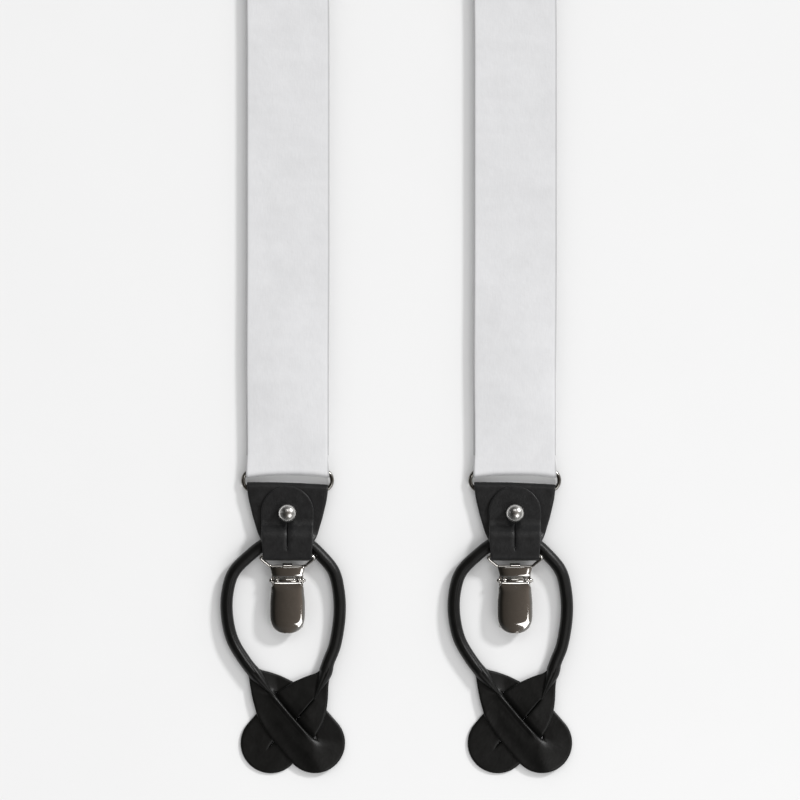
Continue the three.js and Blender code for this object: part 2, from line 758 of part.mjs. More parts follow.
function leftPaddle(name) {
  const us = [0.4, 4.5, 9, 12.3, 19, 26, 33, 39, 43.5, 47.5, 50.5, 52];
  const low = SLIT_MIDDLE - SLIT_HALF;
  const high = SLIT_MIDDLE + SLIT_HALF;
  const grid = (i, j) => {
    const u = us[i];
    const half = paddleHalf(u);
    const edge = Math.min(high, half * 0.6);
    const v = [-half, (low - half) / 2, low, (low + edge) / 2, edge, (edge + half) / 2, half][j];
    const past = Math.max(SLIT_START - u, u - SLIT_END, 0);
    const z = paddleHigh * (1 - share(v, SLIT_HALF + past));
    return [...place(left, u, v), z];
  };
  const [a, b] = left.along;
  const slot = shapeOf([
    [SLIT_START + 1, low - GAP],
    [SLIT_END - 1, low - GAP],
    [SLIT_END, SLIT_MIDDLE],
    [SLIT_END - 1, high + GAP],
    [SLIT_START + 1, high + GAP],
    [SLIT_START, SLIT_MIDDLE],
  ]);
  const turn = new THREE.Matrix4().makeBasis(
    new THREE.Vector3(a, b, 0),
    new THREE.Vector3(-b, a, 0),
    new THREE.Vector3(0, 0, 1),
  );
  const cut = plate(slot, -5, 15).applyMatrix4(turn).translate(...left.root, 0);
  const body = solid(solidGeometry(sheet(us.length, 7, grid, PADDLE_THICK)));
  return node(name, geometryOf(body.subtract(solid(cut)).add(ridge(left))), blackLeather);
}

function rightPaddle(name) {
  const us = [0.6, 5, 10, 15, 18, 20, 21.5, 23, 24.5, 26, 28, 34, 39.4, 44, 48, 50.8, 52];
  const columns = 5;
  const grid = (i, j) => {
    const half = paddleHalf(us[i]);
    const [x, y] = place(right, us[i], half * ((2 * j) / (columns - 1) - 1));
    return [x, y, paddleHigh * share(acrossLeft(x, y), SLIT_HALF)];
  };
  const body = solid(solidGeometry(sheet(us.length, columns, grid, PADDLE_THICK)));
  return node(name, geometryOf(body.add(ridge(right))), blackLeather);
}

// The cord's end, which runs down into the paddle and flattens.
function ridge({ neck, ridgeEnd }) {
  const start = new THREE.Vector3(...neck, CORD_RADIUS);
  const end = new THREE.Vector3(...ridgeEnd, paddleHigh + PADDLE_THICK / 2);
  return solid(taper(start, end, CORD_RADIUS * 0.96, 0.8, 10));
}

// ---------------------------------------------------------------- clip
function clipLink(name) {
  const { y, half } = LINK_TOP;
  const z = linkTopZ;
  const foot = LINK_FOOT;
  const points = [
    [0, y, z],
    [half - 2, y, z],
    [half - 0.5, y - 0.1, z],
    [half - 0.4, y - 0.9, z - 0.3],
    [foot.half + 0.4, foot.y + 0.7, foot.z + 0.25],
    [foot.half - 0.7, foot.y, foot.z],
    [0, foot.y, foot.z],
    [-foot.half + 0.7, foot.y, foot.z],
    [-foot.half - 0.4, foot.y + 0.7, foot.z + 0.25],
    [-half + 0.4, y - 0.9, z - 0.3],
    [-half + 0.5, y - 0.1, z],
    [-half + 2, y, z],
  ].map((p) => new THREE.Vector3(...p));
  const route = new THREE.CatmullRomCurve3(points, true, "catmullrom", 0.15);
  return node(name, new THREE.TubeGeometry(route, 30, LINK_WIRE, 5, true), nickel);
}

const earInner = CLIP_HALF - CLIP_PLATE;
const earTop = -38.8;
const earEnd = PIN.y - 1.7;
const earReach = Math.hypot(PIN.y - earEnd, CLIP_HEIGHT - PIN.z); // of an ear's corner, from the pin

function clipBody(name) {
  const hook = solid(bar(-HOOK_HALF, HOOK_HALF, LINK_FOOT.y, LINK_FOOT.z, LINK_WIRE + 0.2 + 0.7));
  const hookHole = solid(bar(-9, 9, LINK_FOOT.y, LINK_FOOT.z, LINK_WIRE + 0.2));
  const top = block(
    -CLIP_HALF,
    CLIP_HALF,
    PIN.y + KNUCKLE_RADIUS + GAP,
    LINK_FOOT.y - 0.1,
    CLIP_HEIGHT - CLIP_PLATE,
    CLIP_HEIGHT,
  );
  const back = block(-CLIP_HALF, CLIP_HALF, CLIP_END, earTop, 0, CLIP_PLATE);
  const ear = (x) => solid(block(x, x + CLIP_PLATE, earEnd, earTop, 0, CLIP_HEIGHT));
  const pinHole = solid(bar(-12, 12, PIN.y, PIN.z, PIN.radius + 0.2));
  const body = solid(top).add(solid(back)).add(ear(-CLIP_HALF)).add(ear(earInner)).add(hook);
  return node(name, geometryOf(body.subtract(hookHole).subtract(pinHole)), nickel);
}

function clipLever(name) {
  const ys = [-0.9, -3, -6, -12, -17, -20, -21.8, -22.6].map((d) => PIN.y + d);
  const rounding = 4;
  const grid = (i, j) => {
    const y = ys[i];
    const nearEnd = THREE.MathUtils.clamp((LEVER_END + rounding - y) / rounding, 0, 1);
    const widen = THREE.MathUtils.smoothstep(PIN.y - y, 0, 12);
    const half = (CLIP_HALF + (LEVER_HALF - CLIP_HALF) * widen) * Math.sqrt(1 - 0.7 * nearEnd ** 2);
    const across = j / 3 - 1;
    const lift = Math.sin(Math.PI * THREE.MathUtils.clamp((PIN.y - y) / 24, 0, 1)) ** 0.6;
    const crown = (1 - across ** 2) * 0.9 * lift;
    return [half * across, y, PIN.z - 0.55 + 1.3 * lift + crown];
  };
  const shell = solid(solidGeometry(sheet(ys.length, 7, grid, LEVER_THICK)));
  const knuckle = solid(bar(-KNUCKLE_HALF, KNUCKLE_HALF, PIN.y, PIN.z, KNUCKLE_RADIUS));
  const hole = solid(bar(-12, 12, PIN.y, PIN.z, PIN.radius + 0.2));
  const slotFor = (x0, x1) =>
    solid(block(x0, x1, PIN.y - earReach - GAP, PIN.y + 3, PIN.z - 3, CLIP_HEIGHT + 3));
  const body = shell
    .subtract(slotFor(-12, -KNUCKLE_HALF))
    .subtract(slotFor(KNUCKLE_HALF, 12))
    .add(knuckle)
    .subtract(hole);
  return node(name, geometryOf(body), nickel);
}

function clipJaw(name) {
  const half = earInner - GAP;
  const outline = block(-half, half, CLIP_END + 1, PIN.y - 1.9, JAW_Z, JAW_Z + CLIP_PLATE);
  const lug = (x0, x1) =>
    solid(bar(x0, x1, PIN.y, PIN.z, 1.35)).add(
      solid(block(x0, x1, PIN.y - 2.6, PIN.y + 0.2, JAW_Z, PIN.z - 0.4)),
    );
  const hole = solid(bar(-12, 12, PIN.y, PIN.z, PIN.radius + 0.2));
  const inner = KNUCKLE_HALF + GAP;
  const body = solid(outline).add(lug(-half, -inner)).add(lug(inner, half)).subtract(hole);
  return node(name, geometryOf(body), nickel);
}

function pad(name, z0, z1) {
  const half = earInner - 2 * GAP;
  const start = CLIP_END + 1.5;
  return node(name, block(-half, half, start, start + PAD_LENGTH, z0, z1), blackRubber);
}

// ---------------------------------------------------------------- one end of a strap
function strapEnd(side, x, y, turned) {
  const group = new THREE.Group();
  group.position.set(x, y, 0);
  group.rotation.z = turned ? Math.PI : 0;
  const padMiddle = (CLIP_PLATE + JAW_Z) / 2;
  group.add(
    strapRing(side + "_strap_ring"),
    tab(side + "_tab"),
    tongue(side + "_clip_tongue"),
    studBall(side + "_ball_stud"),
    studRivet(side + "_stud_rivet"),
    loopCord(side + "_loop_cord"),
    leftPaddle(side + "_paddle_left"),
    rightPaddle(side + "_paddle_right"),
    clipLink(side + "_clip_link"),
    clipBody(side + "_clip_body"),
    node(side + "_clip_pin", bar(-PIN.half, PIN.half, PIN.y, PIN.z, PIN.radius, 8), nickel),
    clipLever(side + "_clip_lever"),
    clipJaw(side + "_clip_jaw"),
    pad(side + "_body_pad", CLIP_PLATE + GAP, padMiddle - GAP / 2),
    pad(side + "_jaw_pad", padMiddle + GAP / 2, JAW_Z - GAP),
  );
  return group;
}

// ---------------------------------------------------------------- the whole object
const suspenders = new THREE.Group();
suspenders.add(
  ...patch(),
  frontStrap("left_strap", -1, leftHeights),
  frontStrap("right_strap", 1, rightHeights),
  backStrap("back_strap"),
  strapReturn("left_strap_return", -1),
  strapReturn("right_strap_return", 1),
  slider("left", -1),
  slider("right", 1),
  strapEnd("left", -FRONT_SPREAD, frontRingY, false),
  strapEnd("right", FRONT_SPREAD, frontRingY, false),
  strapEnd("back", 0, backRingY, true),
);

export default suspenders;
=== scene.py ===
import math

import bmesh
import bpy
import numpy as np
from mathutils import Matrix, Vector


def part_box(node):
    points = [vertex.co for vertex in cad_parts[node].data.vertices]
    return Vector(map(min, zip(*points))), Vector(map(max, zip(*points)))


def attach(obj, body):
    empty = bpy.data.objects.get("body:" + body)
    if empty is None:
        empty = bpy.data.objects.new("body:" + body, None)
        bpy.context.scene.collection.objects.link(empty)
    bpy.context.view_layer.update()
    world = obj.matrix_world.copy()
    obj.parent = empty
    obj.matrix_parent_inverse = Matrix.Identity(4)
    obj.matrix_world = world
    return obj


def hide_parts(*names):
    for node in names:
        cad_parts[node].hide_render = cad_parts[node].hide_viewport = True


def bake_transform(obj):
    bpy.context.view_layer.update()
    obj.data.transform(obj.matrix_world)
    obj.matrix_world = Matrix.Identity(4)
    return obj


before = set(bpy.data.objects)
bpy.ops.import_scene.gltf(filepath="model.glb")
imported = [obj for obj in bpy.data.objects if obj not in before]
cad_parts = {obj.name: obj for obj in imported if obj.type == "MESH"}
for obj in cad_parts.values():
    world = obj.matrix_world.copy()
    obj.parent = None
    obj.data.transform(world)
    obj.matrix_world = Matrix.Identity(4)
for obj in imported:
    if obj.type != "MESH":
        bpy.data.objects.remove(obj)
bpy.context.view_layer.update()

MM = 0.001
ENDS = ("left", "right", "back")


def middle_of(node):
    low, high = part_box(node)
    return (low + high) / 2 / MM


RINGS = {side: middle_of(side + "_strap_ring") for side in ENDS}
SLIDERS = {side: middle_of(side + "_slider_frame") for side in ("left", "right")}


# ---------------------------------------------------------------- shapes
def smooth(value, low, high):
    t = np.clip((np.asarray(value, float) - low) / (high - low), 0, 1)
    return t * t * (3 - 2 * t)


def steps(table, where):
    """Heights that ease from one step of a table to the next."""
    out = np.full(np.shape(where), float(table[0][1]))
    for (a, low), (b, high) in zip(table, table[1:]):
        out += (high - low) * smooth(where, a, b)
    return out


def through(table, where):
    """Straight lines through a table of pairs."""
    xs, ys = zip(*sorted(table))
    return np.interp(where, xs, ys)


def unit(vectors):
    length = np.linalg.norm(vectors, axis=-1, keepdims=True)
    return vectors / np.maximum(length, 1e-9)


def line_length(points):
    return float(np.linalg.norm(np.diff(points, axis=0), axis=1).sum())


def resample(points, count, closed=False):
    points = np.asarray(points, float)
    if closed:
        points = np.vstack([points, points[:1]])
    along = np.r_[0, np.cumsum(np.linalg.norm(np.diff(points, axis=0), axis=1))]
    stops = np.linspace(0, along[-1], count + 1)[:-1] if closed else np.linspace(0, along[-1], count)
    return np.stack([np.interp(stops, along, points[:, k]) for k in range(points.shape[1])], 1)


def row(*coordinates):
    """Points from their coordinates, any of which may be one number for them all."""
    return np.stack(np.broadcast_arrays(*coordinates), 1).astype(float)


def spline(points, per_span=12, closed=False):
    """A centripetal Catmull-Rom curve through the points."""
    p = np.asarray(points, float)
    if closed:
        p = np.vstack([p[-1:], p, p[:2]])
    else:
        p = np.vstack([2 * p[0] - p[1], p, 2 * p[-1] - p[-2]])
    out = []
    for i in range(1, len(p) - 2):
        a, b, c, d = p[i - 1 : i + 3]
        t0 = 0.0
        t1 = t0 + np.linalg.norm(b - a) ** 0.5
        t2 = t1 + np.linalg.norm(c - b) ** 0.5
        t3 = t2 + np.linalg.norm(d - c) ** 0.5
        for t in np.linspace(t1, t2, per_span, endpoint=False):
            ab = (t1 - t) / (t1 - t0) * a + (t - t0) / (t1 - t0) * b
            bc = (t2 - t) / (t2 - t1) * b + (t - t1) / (t2 - t1) * c
            cd = (t3 - t) / (t3 - t2) * c + (t - t2) / (t3 - t2) * d
            abc = (t2 - t) / (t2 - t0) * ab + (t - t0) / (t2 - t0) * bc
            bcd = (t3 - t) / (t3 - t1) * bc + (t - t1) / (t3 - t1) * cd
            out.append((t2 - t) / (t2 - t1) * abc + (t - t1) / (t2 - t1) * bcd)
    if not closed:
        out.append(p[-2])
    return np.array(out)


def loft(rings, closed=False):
    """A skin over loops of the same number of points."""
    rings = np.asarray(rings, float)
    m, k = rings.shape[:2]
    faces = []
    for i in range(m if closed else m - 1):
        a, b = i * k, ((i + 1) % m) * k
        faces += [(a + j, a + (j + 1) % k, b + (j + 1) % k, b + j) for j in range(k)]
    if not closed:
        faces += [tuple(range(k))[::-1], tuple((m - 1) * k + j for j in range(k))]
    return rings.reshape(-1, 3), faces


def sheet_section(half, thick, columns, turns=5):
    """Once round a sheet's section, across and up, with round edges."""
    r = thick / 2
    flat = np.linspace(r - half, half - r, columns)
    turn = np.linspace(0, math.pi, turns + 2)[1:-1]
    top = np.stack([flat, np.full(columns, r)], 1)
    right = np.stack([half - r + r * np.sin(turn), r * np.cos(turn)], 1)
    return np.vstack([top, right, -top, -right])


def ribbon(centre, side, half, thick, columns=30, bend=None):
    """A strip along a line: its points and faces, and the place of each point across and along it."""
    centre = np.asarray(centre, float)
    side = unit(np.broadcast_to(np.asarray(side, float), centre.shape))
    half = np.broadcast_to(half, len(centre))
    up = unit(np.cross(side, unit(np.gradient(centre, axis=0))))
    along = np.r_[0, np.cumsum(np.linalg.norm(np.diff(centre, axis=0), axis=1))]
    rings, places = [], []
    for i, c in enumerate(centre):
        section = sheet_section(half[i], thick, columns)
        ring = c + section[:, :1] * side[i] + section[:, 1:] * up[i]
        if bend is not None:
            ring = ring + bend(i, section[:, 0])
        rings.append(ring)
        places.append(np.stack([section[:, 0], np.full(len(section), along[i])], 1))
    points, faces = loft(rings)
    return points, faces, np.concatenate(places)


def tube(path, radius, sides=16, closed=False, shape=None, taper=None):
    """A round bar along a path that stays near level; shape gives its radius by angle from the top."""
    path = np.asarray(path, float)
    ahead = np.roll(path, -1, 0) - np.roll(path, 1, 0) if closed else np.gradient(path, axis=0)
    ahead = unit(ahead)
    side = unit(np.cross(ahead, (0, 0, 1)))
    up = np.cross(side, ahead)
    turn = np.linspace(0, 2 * math.pi, sides, endpoint=False)
    r = radius * (np.ones(sides) if shape is None else shape(turn))
    scale = np.ones(len(path)) if taper is None else taper
    rings = [
        p + scale[i] * (np.outer(r * np.sin(turn), side[i]) + np.outer(r * np.cos(turn), up[i]))
        for i, p in enumerate(path)
    ]
    return loft(rings, closed)


def lathe(profile, sides=32):
    """A profile of radius and height, turned about the vertical."""
    turn = np.linspace(0, 2 * math.pi, sides, endpoint=False)
    rings = [
        np.stack([r * np.cos(turn), r * np.sin(turn), np.full(sides, z)], 1) for r, z in profile
    ]
    return loft(rings)


def rod(x0, x1, y, z, radius, round_end=0.15, sides=24):
    """A round bar along X with softened ends."""
    e = min(round_end, radius * 0.9)
    profile = [(radius - e, x0), (radius - 0.3 * e, x0 + 0.3 * e), (radius, x0 + e)]
    profile += [(radius, x1 - e), (radius - 0.3 * e, x1 - 0.3 * e), (radius - e, x1)]
    points, faces = lathe(profile, sides)
    return np.stack([points[:, 2], points[:, 0] + y, points[:, 1] + z], 1), faces


def block(low, high, edge=0.3, segments=3):
    """A box with rounded edges."""
    bm = bmesh.new()
    bmesh.ops.create_cube(bm, size=1)
    low, high = np.array(low, float), np.array(high, float)
    for v in bm.verts:
        v.co = Vector((low + high) / 2 + np.array(v.co) * (high - low))
    bmesh.ops.bevel(bm, geom=bm.edges[:], offset=edge, segments=segments, profile=0.5, affect="EDGES")
    points = np.array([v.co for v in bm.verts])
    faces = [tuple(v.index for v in f.verts) for f in bm.faces]
    bm.free()
    return points, faces


def spread(low, high, edge, inner):
    """Places from low to high, closer together near both ends."""
    edge = min(edge, (high - low) / 2.2)
    near = edge * (1 - np.cos(np.linspace(0, math.pi / 2, 5)))[:-1]
    return np.r_[low + near, np.linspace(low + edge, high - edge, inner), (high - near)[::-1]]


def from_edge(flat, rim):
    """How far each point of a grid is from a line of points in the same plane."""
    a, b = rim[:-1], rim[1:]
    keep = np.linalg.norm(b - a, axis=1) > 1e-6
    a, ab = a[keep], (b - a)[keep]
    gap = flat[..., None, :] - a
    t = np.clip((gap * ab).sum(-1) / (ab**2).sum(-1), 0, 1)
    return np.linalg.norm(gap - t[..., None] * ab, axis=-1).min(-1)


def leaf(flat, surface, thick, seam=None, slit=None, upright=False, round_edge=None):
    """A sheet with rounded edges from a grid: flat is its cut shape and surface its middle in space.
    Faces between columns seam and seam + 1 are left out, which opens a slit along rows slit."""
    rim = np.concatenate([flat[0], flat[:, -1], flat[-1, ::-1], flat[::-1, 0]])
    edge = from_edge(flat, rim)
    if seam is not None:
        first, last = slit
        rows = np.arange(first, last + 1)
        slot = np.concatenate([flat[rows, seam], flat[rows[::-1], seam + 1]])
        edge = np.minimum(edge, from_edge(flat, slot))
    rounding = round_edge or thick / 2
    half = thick / 2 * np.sqrt(1 - (1 - np.clip(edge / rounding, 0, 1)) ** 2)
    if upright:
        up = np.broadcast_to((0.0, 0.0, 1.0), surface.shape)
    else:
        across = np.gradient(surface, axis=1)
        along = np.gradient(surface, axis=0)
        up = unit(np.cross(across, along))
        up = up * np.where(up[..., 2:] < 0, -1, 1)
    r, c = flat.shape[:2]
    points = np.concatenate(
        [(surface + up * half[..., None]).reshape(-1, 3), (surface - up * half[..., None]).reshape(-1, 3)]
    )
    faces = []
    for i in range(r - 1):
        for j in range(c - 1):
            if j == seam:
                continue
            q = (i * c + j, i * c + j + 1, (i + 1) * c + j + 1, (i + 1) * c + j)
            faces += [q, tuple(r * c + n for n in reversed(q))]
    return points, faces


def joined(*parts):
    points, faces, count = [], [], 0
    for p, f in parts:
        points.append(np.asarray(p, float))
        faces += [tuple(n + count for n in face) for face in f]
        count += len(p)
    return np.concatenate(points), faces


def mesh(name, body, paint, places=None, sharp=50):
    """A shown object from points in millimetres, welded and shaded smooth but for sharp edges."""
    points, faces = body[:2]
    data = bpy.data.meshes.new(name)
    data.from_pydata((np.asarray(points) * MM).tolist(), [], faces)
    if places is not None:
        corners = np.empty(len(data.loops), np.int64)
        data.loops.foreach_get("vertex_index", corners)
        layer = data.uv_layers.new(name="UVMap")
        layer.data.foreach_set("uv", (np.asarray(places)[corners] * MM).ravel())
    bm = bmesh.new()
    bm.from_mesh(data)
    bmesh.ops.remove_doubles(bm, verts=bm.verts, dist=0.002 * MM)
    bmesh.ops.dissolve_degenerate(bm, edges=bm.edges, dist=0.001 * MM)
    bmesh.ops.recalc_face_normals(bm, faces=bm.faces)
    for face in bm.faces:
        face.smooth = True
    bm.to_mesh(data)
    bm.free()
    data.set_sharp_from_angle(angle=math.radians(sharp))
    data.materials.append(paint)
    return add_object(name, data)


def add_object(name, data):
    thing = bpy.data.objects.new(name, data)
    bpy.context.scene.collection.objects.link(thing)
    return thing


def put(side, points):
    """From an end's own frame, where its ring is the origin and its clip towards -Y, to the part's."""
    points = np.array(points, float)
    if side == "back":
        points[..., :2] *= -1
    points[..., 0] += RINGS[side].x
    points[..., 1] += RINGS[side].y
    return points


def dress(thing, rides, slot, *nodes):
    """What a piece rides on and the nodes that it stands for; its material slot is not used."""
    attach(thing, rides)
    if nodes:
        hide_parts(*nodes)
    return thing


def piece(side, name, body, paint, slot, rides, node, sharp=50):
    """A piece of a strap end, from points in the end's own frame."""
    points, faces = body
    thing = mesh(side + "_" + name, (put(side, points), faces), paint, sharp=sharp)
    return dress(thing, side + "_" + rides, slot, side + "_" + node)


# ---------------------------------------------------------------- materials
def adder(tree):
    """Two functions for a node tree: add a node with its settings, and feed a socket."""

    def feed(socket, value):
        if isinstance(value, bpy.types.NodeSocket):
            tree.links.new(value, socket)
        else:
            socket.default_value = value

    def add(kind, *inputs, **settings):
        new = tree.nodes.new("ShaderNode" + kind)
        for key, value in settings.items():
            if hasattr(new, key):
                setattr(new, key, value)
            else:
                feed(new.inputs[key.replace("_", " ")], value)
        for socket, value in zip(new.inputs, inputs):
            feed(socket, value)
        return new

    return add, feed


# Each woven pattern's direction, distortion and detail scale.
WAVES = {"threads": ("Y", 0.6, 4.0), "ribs": ("X", 0.3, 1.0)}


def finish_of(name, color, rough, metal=0.0, tint=0.06, patch=0.004, bumps=(), sheen=0.0, spec=0.5, weave_and_edge_shade=False):
    """A procedural finish: colour and roughness vary in patches of that size, in metres, and each bump
    is (pattern, size, depth)."""
    made = bpy.data.materials.new(name)
    made.use_nodes = True
    add, feed = adder(made.node_tree)
    place = add("TexCoord").outputs
    blotch = add("TexNoise", Vector=place["Object"], Scale=1 / patch, Detail=4.0, Roughness=0.6).outputs["Fac"]
    share = add("MapRange", Value=blotch, From_Min=0.3, From_Max=0.7).outputs["Result"]
    low, high = ((*[min(1, c * (1 + t)) for c in color], 1) for t in (-tint, tint))
    shown = add("Mix", data_type="RGBA", Factor=share, A=low, B=high).outputs["Result"]
    height = None
    for pattern, size, depth in bumps:
        if pattern == "grain":
            warp = add("TexNoise", Vector=place["Object"], Scale=0.6 / size, Detail=2.0).outputs["Color"]
            shift = add("VectorMath", warp, (size, size, size), place["Object"], operation="MULTIPLY_ADD")
            cells = add("TexVoronoi", feature="SMOOTH_F1", Vector=shift.outputs[0], Scale=1 / size, Smoothness=0.4)
            out = cells.outputs["Distance"]
        elif pattern in WAVES:
            direction, distortion, detail = WAVES[pattern]
            wave = add("TexWave", wave_type="BANDS", bands_direction=direction, Vector=place["UV"],
                       Scale=0.05 / size, Distortion=distortion, Detail=1.0, Detail_Scale=detail)
            out = wave.outputs["Fac"]
        else:
            noise = add("TexNoise", Vector=place["Object"], Scale=1 / size, Detail=5.0, Roughness=0.55)
            out = noise.outputs["Fac"]
        bump = add("Bump", Distance=depth, Strength=1.0, Height=out)
        if height is not None:
            feed(bump.inputs["Normal"], height)
        height = bump.outputs["Normal"]
    if weave_and_edge_shade:
        off = add("Math", add("SeparateXYZ", place["UV"]).outputs["X"], operation="ABSOLUTE").outputs[0]
        # Painted shade: the colour darkens towards both edges of the strap, standing in for the shade where its
        # rounded edges turn away from the light.
        painted_edge_shade = add("MapRange", interpolation_type="SMOOTHSTEP", Value=off, From_Min=0.0168, From_Max=0.0176,
                       To_Min=1.0, To_Max=0.62)
        squeeze = add("Mapping", Vector=place["UV"], Scale=(1900, 260, 1)).outputs["Vector"]
        threads = add("TexNoise", Vector=squeeze, Scale=1.0, Detail=3.0).outputs["Fac"]
        shade = add("MapRange", Value=threads, From_Min=0.3, From_Max=0.7, To_Min=0.955, To_Max=1.0)
        for layer in (painted_edge_shade, shade):
            shown = add("Mix", data_type="RGBA", blend_type="MULTIPLY", Factor=1.0, A=shown,
                        B=layer.outputs["Result"]).outputs["Result"]
    vary = add("MapRange", Value=blotch, To_Min=max(0.02, rough * 0.85), To_Max=min(1.0, rough * 1.15))
    values = {"Base Color": shown, "Normal": height, "Roughness": vary.outputs["Result"], "Metallic": metal,
              "Specular IOR Level": spec, "Coat Roughness": 0.25, "Sheen Weight": sheen, "Sheen Roughness": 0.4}
    for socket, value in values.items():
        feed(made.node_tree.nodes["Principled BSDF"].inputs[socket], value)
    return made


SATIN = finish_of("satin_webbing", (0.685, 0.685, 0.695), 0.42, tint=0.03, patch=0.012, sheen=0.08,
                  spec=0.45, weave_and_edge_shade=True,
                  bumps=(("threads", 0.0011, 0.00003), ("ribs", 0.0016, 0.00002), ("noise", 0.009, 0.0003)))
LEATHER = finish_of("grained_leather", (0.0115, 0.0115, 0.012), 0.42, tint=0.25, patch=0.003, spec=0.36,
                    bumps=(("grain", 0.0007, 0.00006), ("noise", 0.006, 0.0003)))
ROLLED = finish_of("rolled_leather", (0.0032, 0.0032, 0.0028), 0.42, tint=0.25, patch=0.004, spec=0.34,
                   bumps=(("noise", 0.0012, 0.00005), ("noise", 0.012, 0.0004)))
NICKEL = finish_of("polished_nickel", (0.74, 0.72, 0.69), 0.09, metal=1.0, tint=0.03, patch=0.002,
                   bumps=(("noise", 0.004, 0.00002),))
BALL = finish_of("ball_nickel", (0.72, 0.71, 0.69), 0.27, metal=1.0, tint=0.05, patch=0.002,
                 bumps=(("noise", 0.0025, 0.00005),))
DARK_NICKEL = finish_of("dark_nickel", (0.30, 0.29, 0.27), 0.16, metal=1.0, tint=0.08, patch=0.002,
                        bumps=(("noise", 0.0015, 0.00002),))
RUBBER = finish_of("black_rubber", (0.02, 0.02, 0.02), 0.75, tint=0.2, patch=0.001,
                   bumps=(("grain", 0.0009, 0.0001),))
THREAD = finish_of("sewing_thread", (0.03, 0.03, 0.032), 0.7, tint=0.2, patch=0.0006,
                   bumps=(("noise", 0.0003, 0.0001),))
WHITE_THREAD = finish_of("white_thread", (0.72, 0.72, 0.74), 0.6, tint=0.05, patch=0.0006,
                         bumps=(("noise", 0.0003, 0.0001),))

# ---------------------------------------------------------------- sizes shared by the pieces
STRAP_HALF = 17.8
STRAP = 1.0
FACE = 3.4  # underside of a strap's upper layer
RING_Z = RINGS["left"].z
BAR = 4.5  # from a ring's middle to its bars
FOLD = 1.7  # radius of the webbing's middle round a bar
FOLD_POINTS = 17
SPREAD = RINGS["right"].x
FRONT_Y = RINGS["left"].y
SLIDER_Y = SLIDERS["left"].y
X_AXIS = (1.0, 0.0, 0.0)

# A front strap leans in from a bend and goes under the patch at MEET_X, MEET_Y.
MEET_X, MEET_Y = 9, -18
LEAN = math.radians(13)
LEAN_RADIUS = 400
LEAN_X = SPREAD - LEAN_RADIUS * (1 - math.cos(LEAN))
LEAN_Y = MEET_Y - (LEAN_X - MEET_X) / math.tan(LEAN)
BEND_Y = LEAN_Y - LEAN_RADIUS * math.sin(LEAN)


# ---------------------------------------------------------------- straps
def ring_bend(weights, away, bow=None):
    """The webbing's fold follows the ring's curved ends, which pulls its edges away from the clip."""

    def bend(i, across):
        drop = 1.15 * (np.abs(across) / 17.5) ** 2.4 * weights[i]
        share = np.clip(np.abs(across) / STRAP_HALF, 0, 1)
        lift = bow[i] * (1 - share**2) if bow is not None else np.zeros_like(drop)
        return np.stack([np.zeros_like(drop), away * drop, lift], 1)

    return bend


def half_turn(x, bar_y, towards):
    """The webbing's fold round a ring's bar."""
    angles = np.linspace(math.pi / 2, 1.5 * math.pi, FOLD_POINTS)
    return row(x, bar_y + towards * FOLD * np.cos(angles), RING_Z + FOLD * np.sin(angles))


def laid(node):
    """A layer of webbing stands for its node, which is hidden."""
    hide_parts(node)


def front_strap(side, hand, heights):
    neck = FRONT_Y + BAR
    far = np.arange(1.5, -neck, 1.6)
    y = -far
    leaning = y > LEAN_Y
    turn = np.where(leaning, LEAN, np.arcsin(np.clip((y - BEND_Y) / LEAN_RADIUS, 0, math.sin(LEAN))))
    x = np.where(leaning, MEET_X + (MEET_Y - y) * math.tan(LEAN), SPREAD - LEAN_RADIUS * (1 - np.cos(turn)))
    wave = 0.12 * (1 + np.sin(far / 21 + hand)) * smooth(far, 110, 140) * smooth(-far, -225, -220)
    run = row(hand * x, y, steps(heights, far) + STRAP / 2 + wave * smooth(far, 100, 130))
    tail = row(hand * SPREAD, np.arange(neck + 0.8, neck + 6.2, 0.8), STRAP / 2)
    centre = np.vstack([run, half_turn(hand * SPREAD, neck, 1), tail])
    order = np.arange(len(centre))
    sides = np.tile(X_AXIS, (len(centre), 1))
    sides[: len(run)] = row(np.cos(hand * turn), np.sin(hand * turn), 0)
    down, above = -centre[:, 1], centre[:, 1] - FRONT_Y
    half = STRAP_HALF - 0.35 * smooth(down, -neck - 60, -neck - 14)
    half = half + 0.7 * smooth(down, -neck - 9, -neck) - 0.6 * smooth(order, len(order) - 9, len(order))
    half = half - 0.25 * smooth(-above, -60, -5)
    # The slider runs down to 94 mm above the ring, so the bow lies below that.
    bow = 1.35 * smooth(above, 8, 42) * smooth(-above, -90, -52) + 0.3 * smooth(above, 262, 300)
    bow = bow * (centre[:, 2] > 0.4) * (order < len(run))
    centre[:, 0] += 0.25 * smooth(above, 40, 100) * smooth(-above, -222, -185)
    near = smooth(down, -neck - 26, -neck)
    body = ribbon(centre, sides, half, STRAP, 34, ring_bend(near, -1, bow))
    strap = mesh(side + "_strap_webbing", body, SATIN, places=body[2])
    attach(strap, "root")
    laid(side + "_strap")


# How high each front strap lies, by how far it is from the patch's middle.
EDGE = -SLIDER_Y - 12
front_strap("left", -1, [(28, 1.5), (48, 0), (EDGE - 45, 0), (EDGE - 8, FACE)])
front_strap("right", 1, [(45, 2.8), (62, 1.45), (100, 0), (EDGE - 45, 0), (EDGE - 8, FACE)])


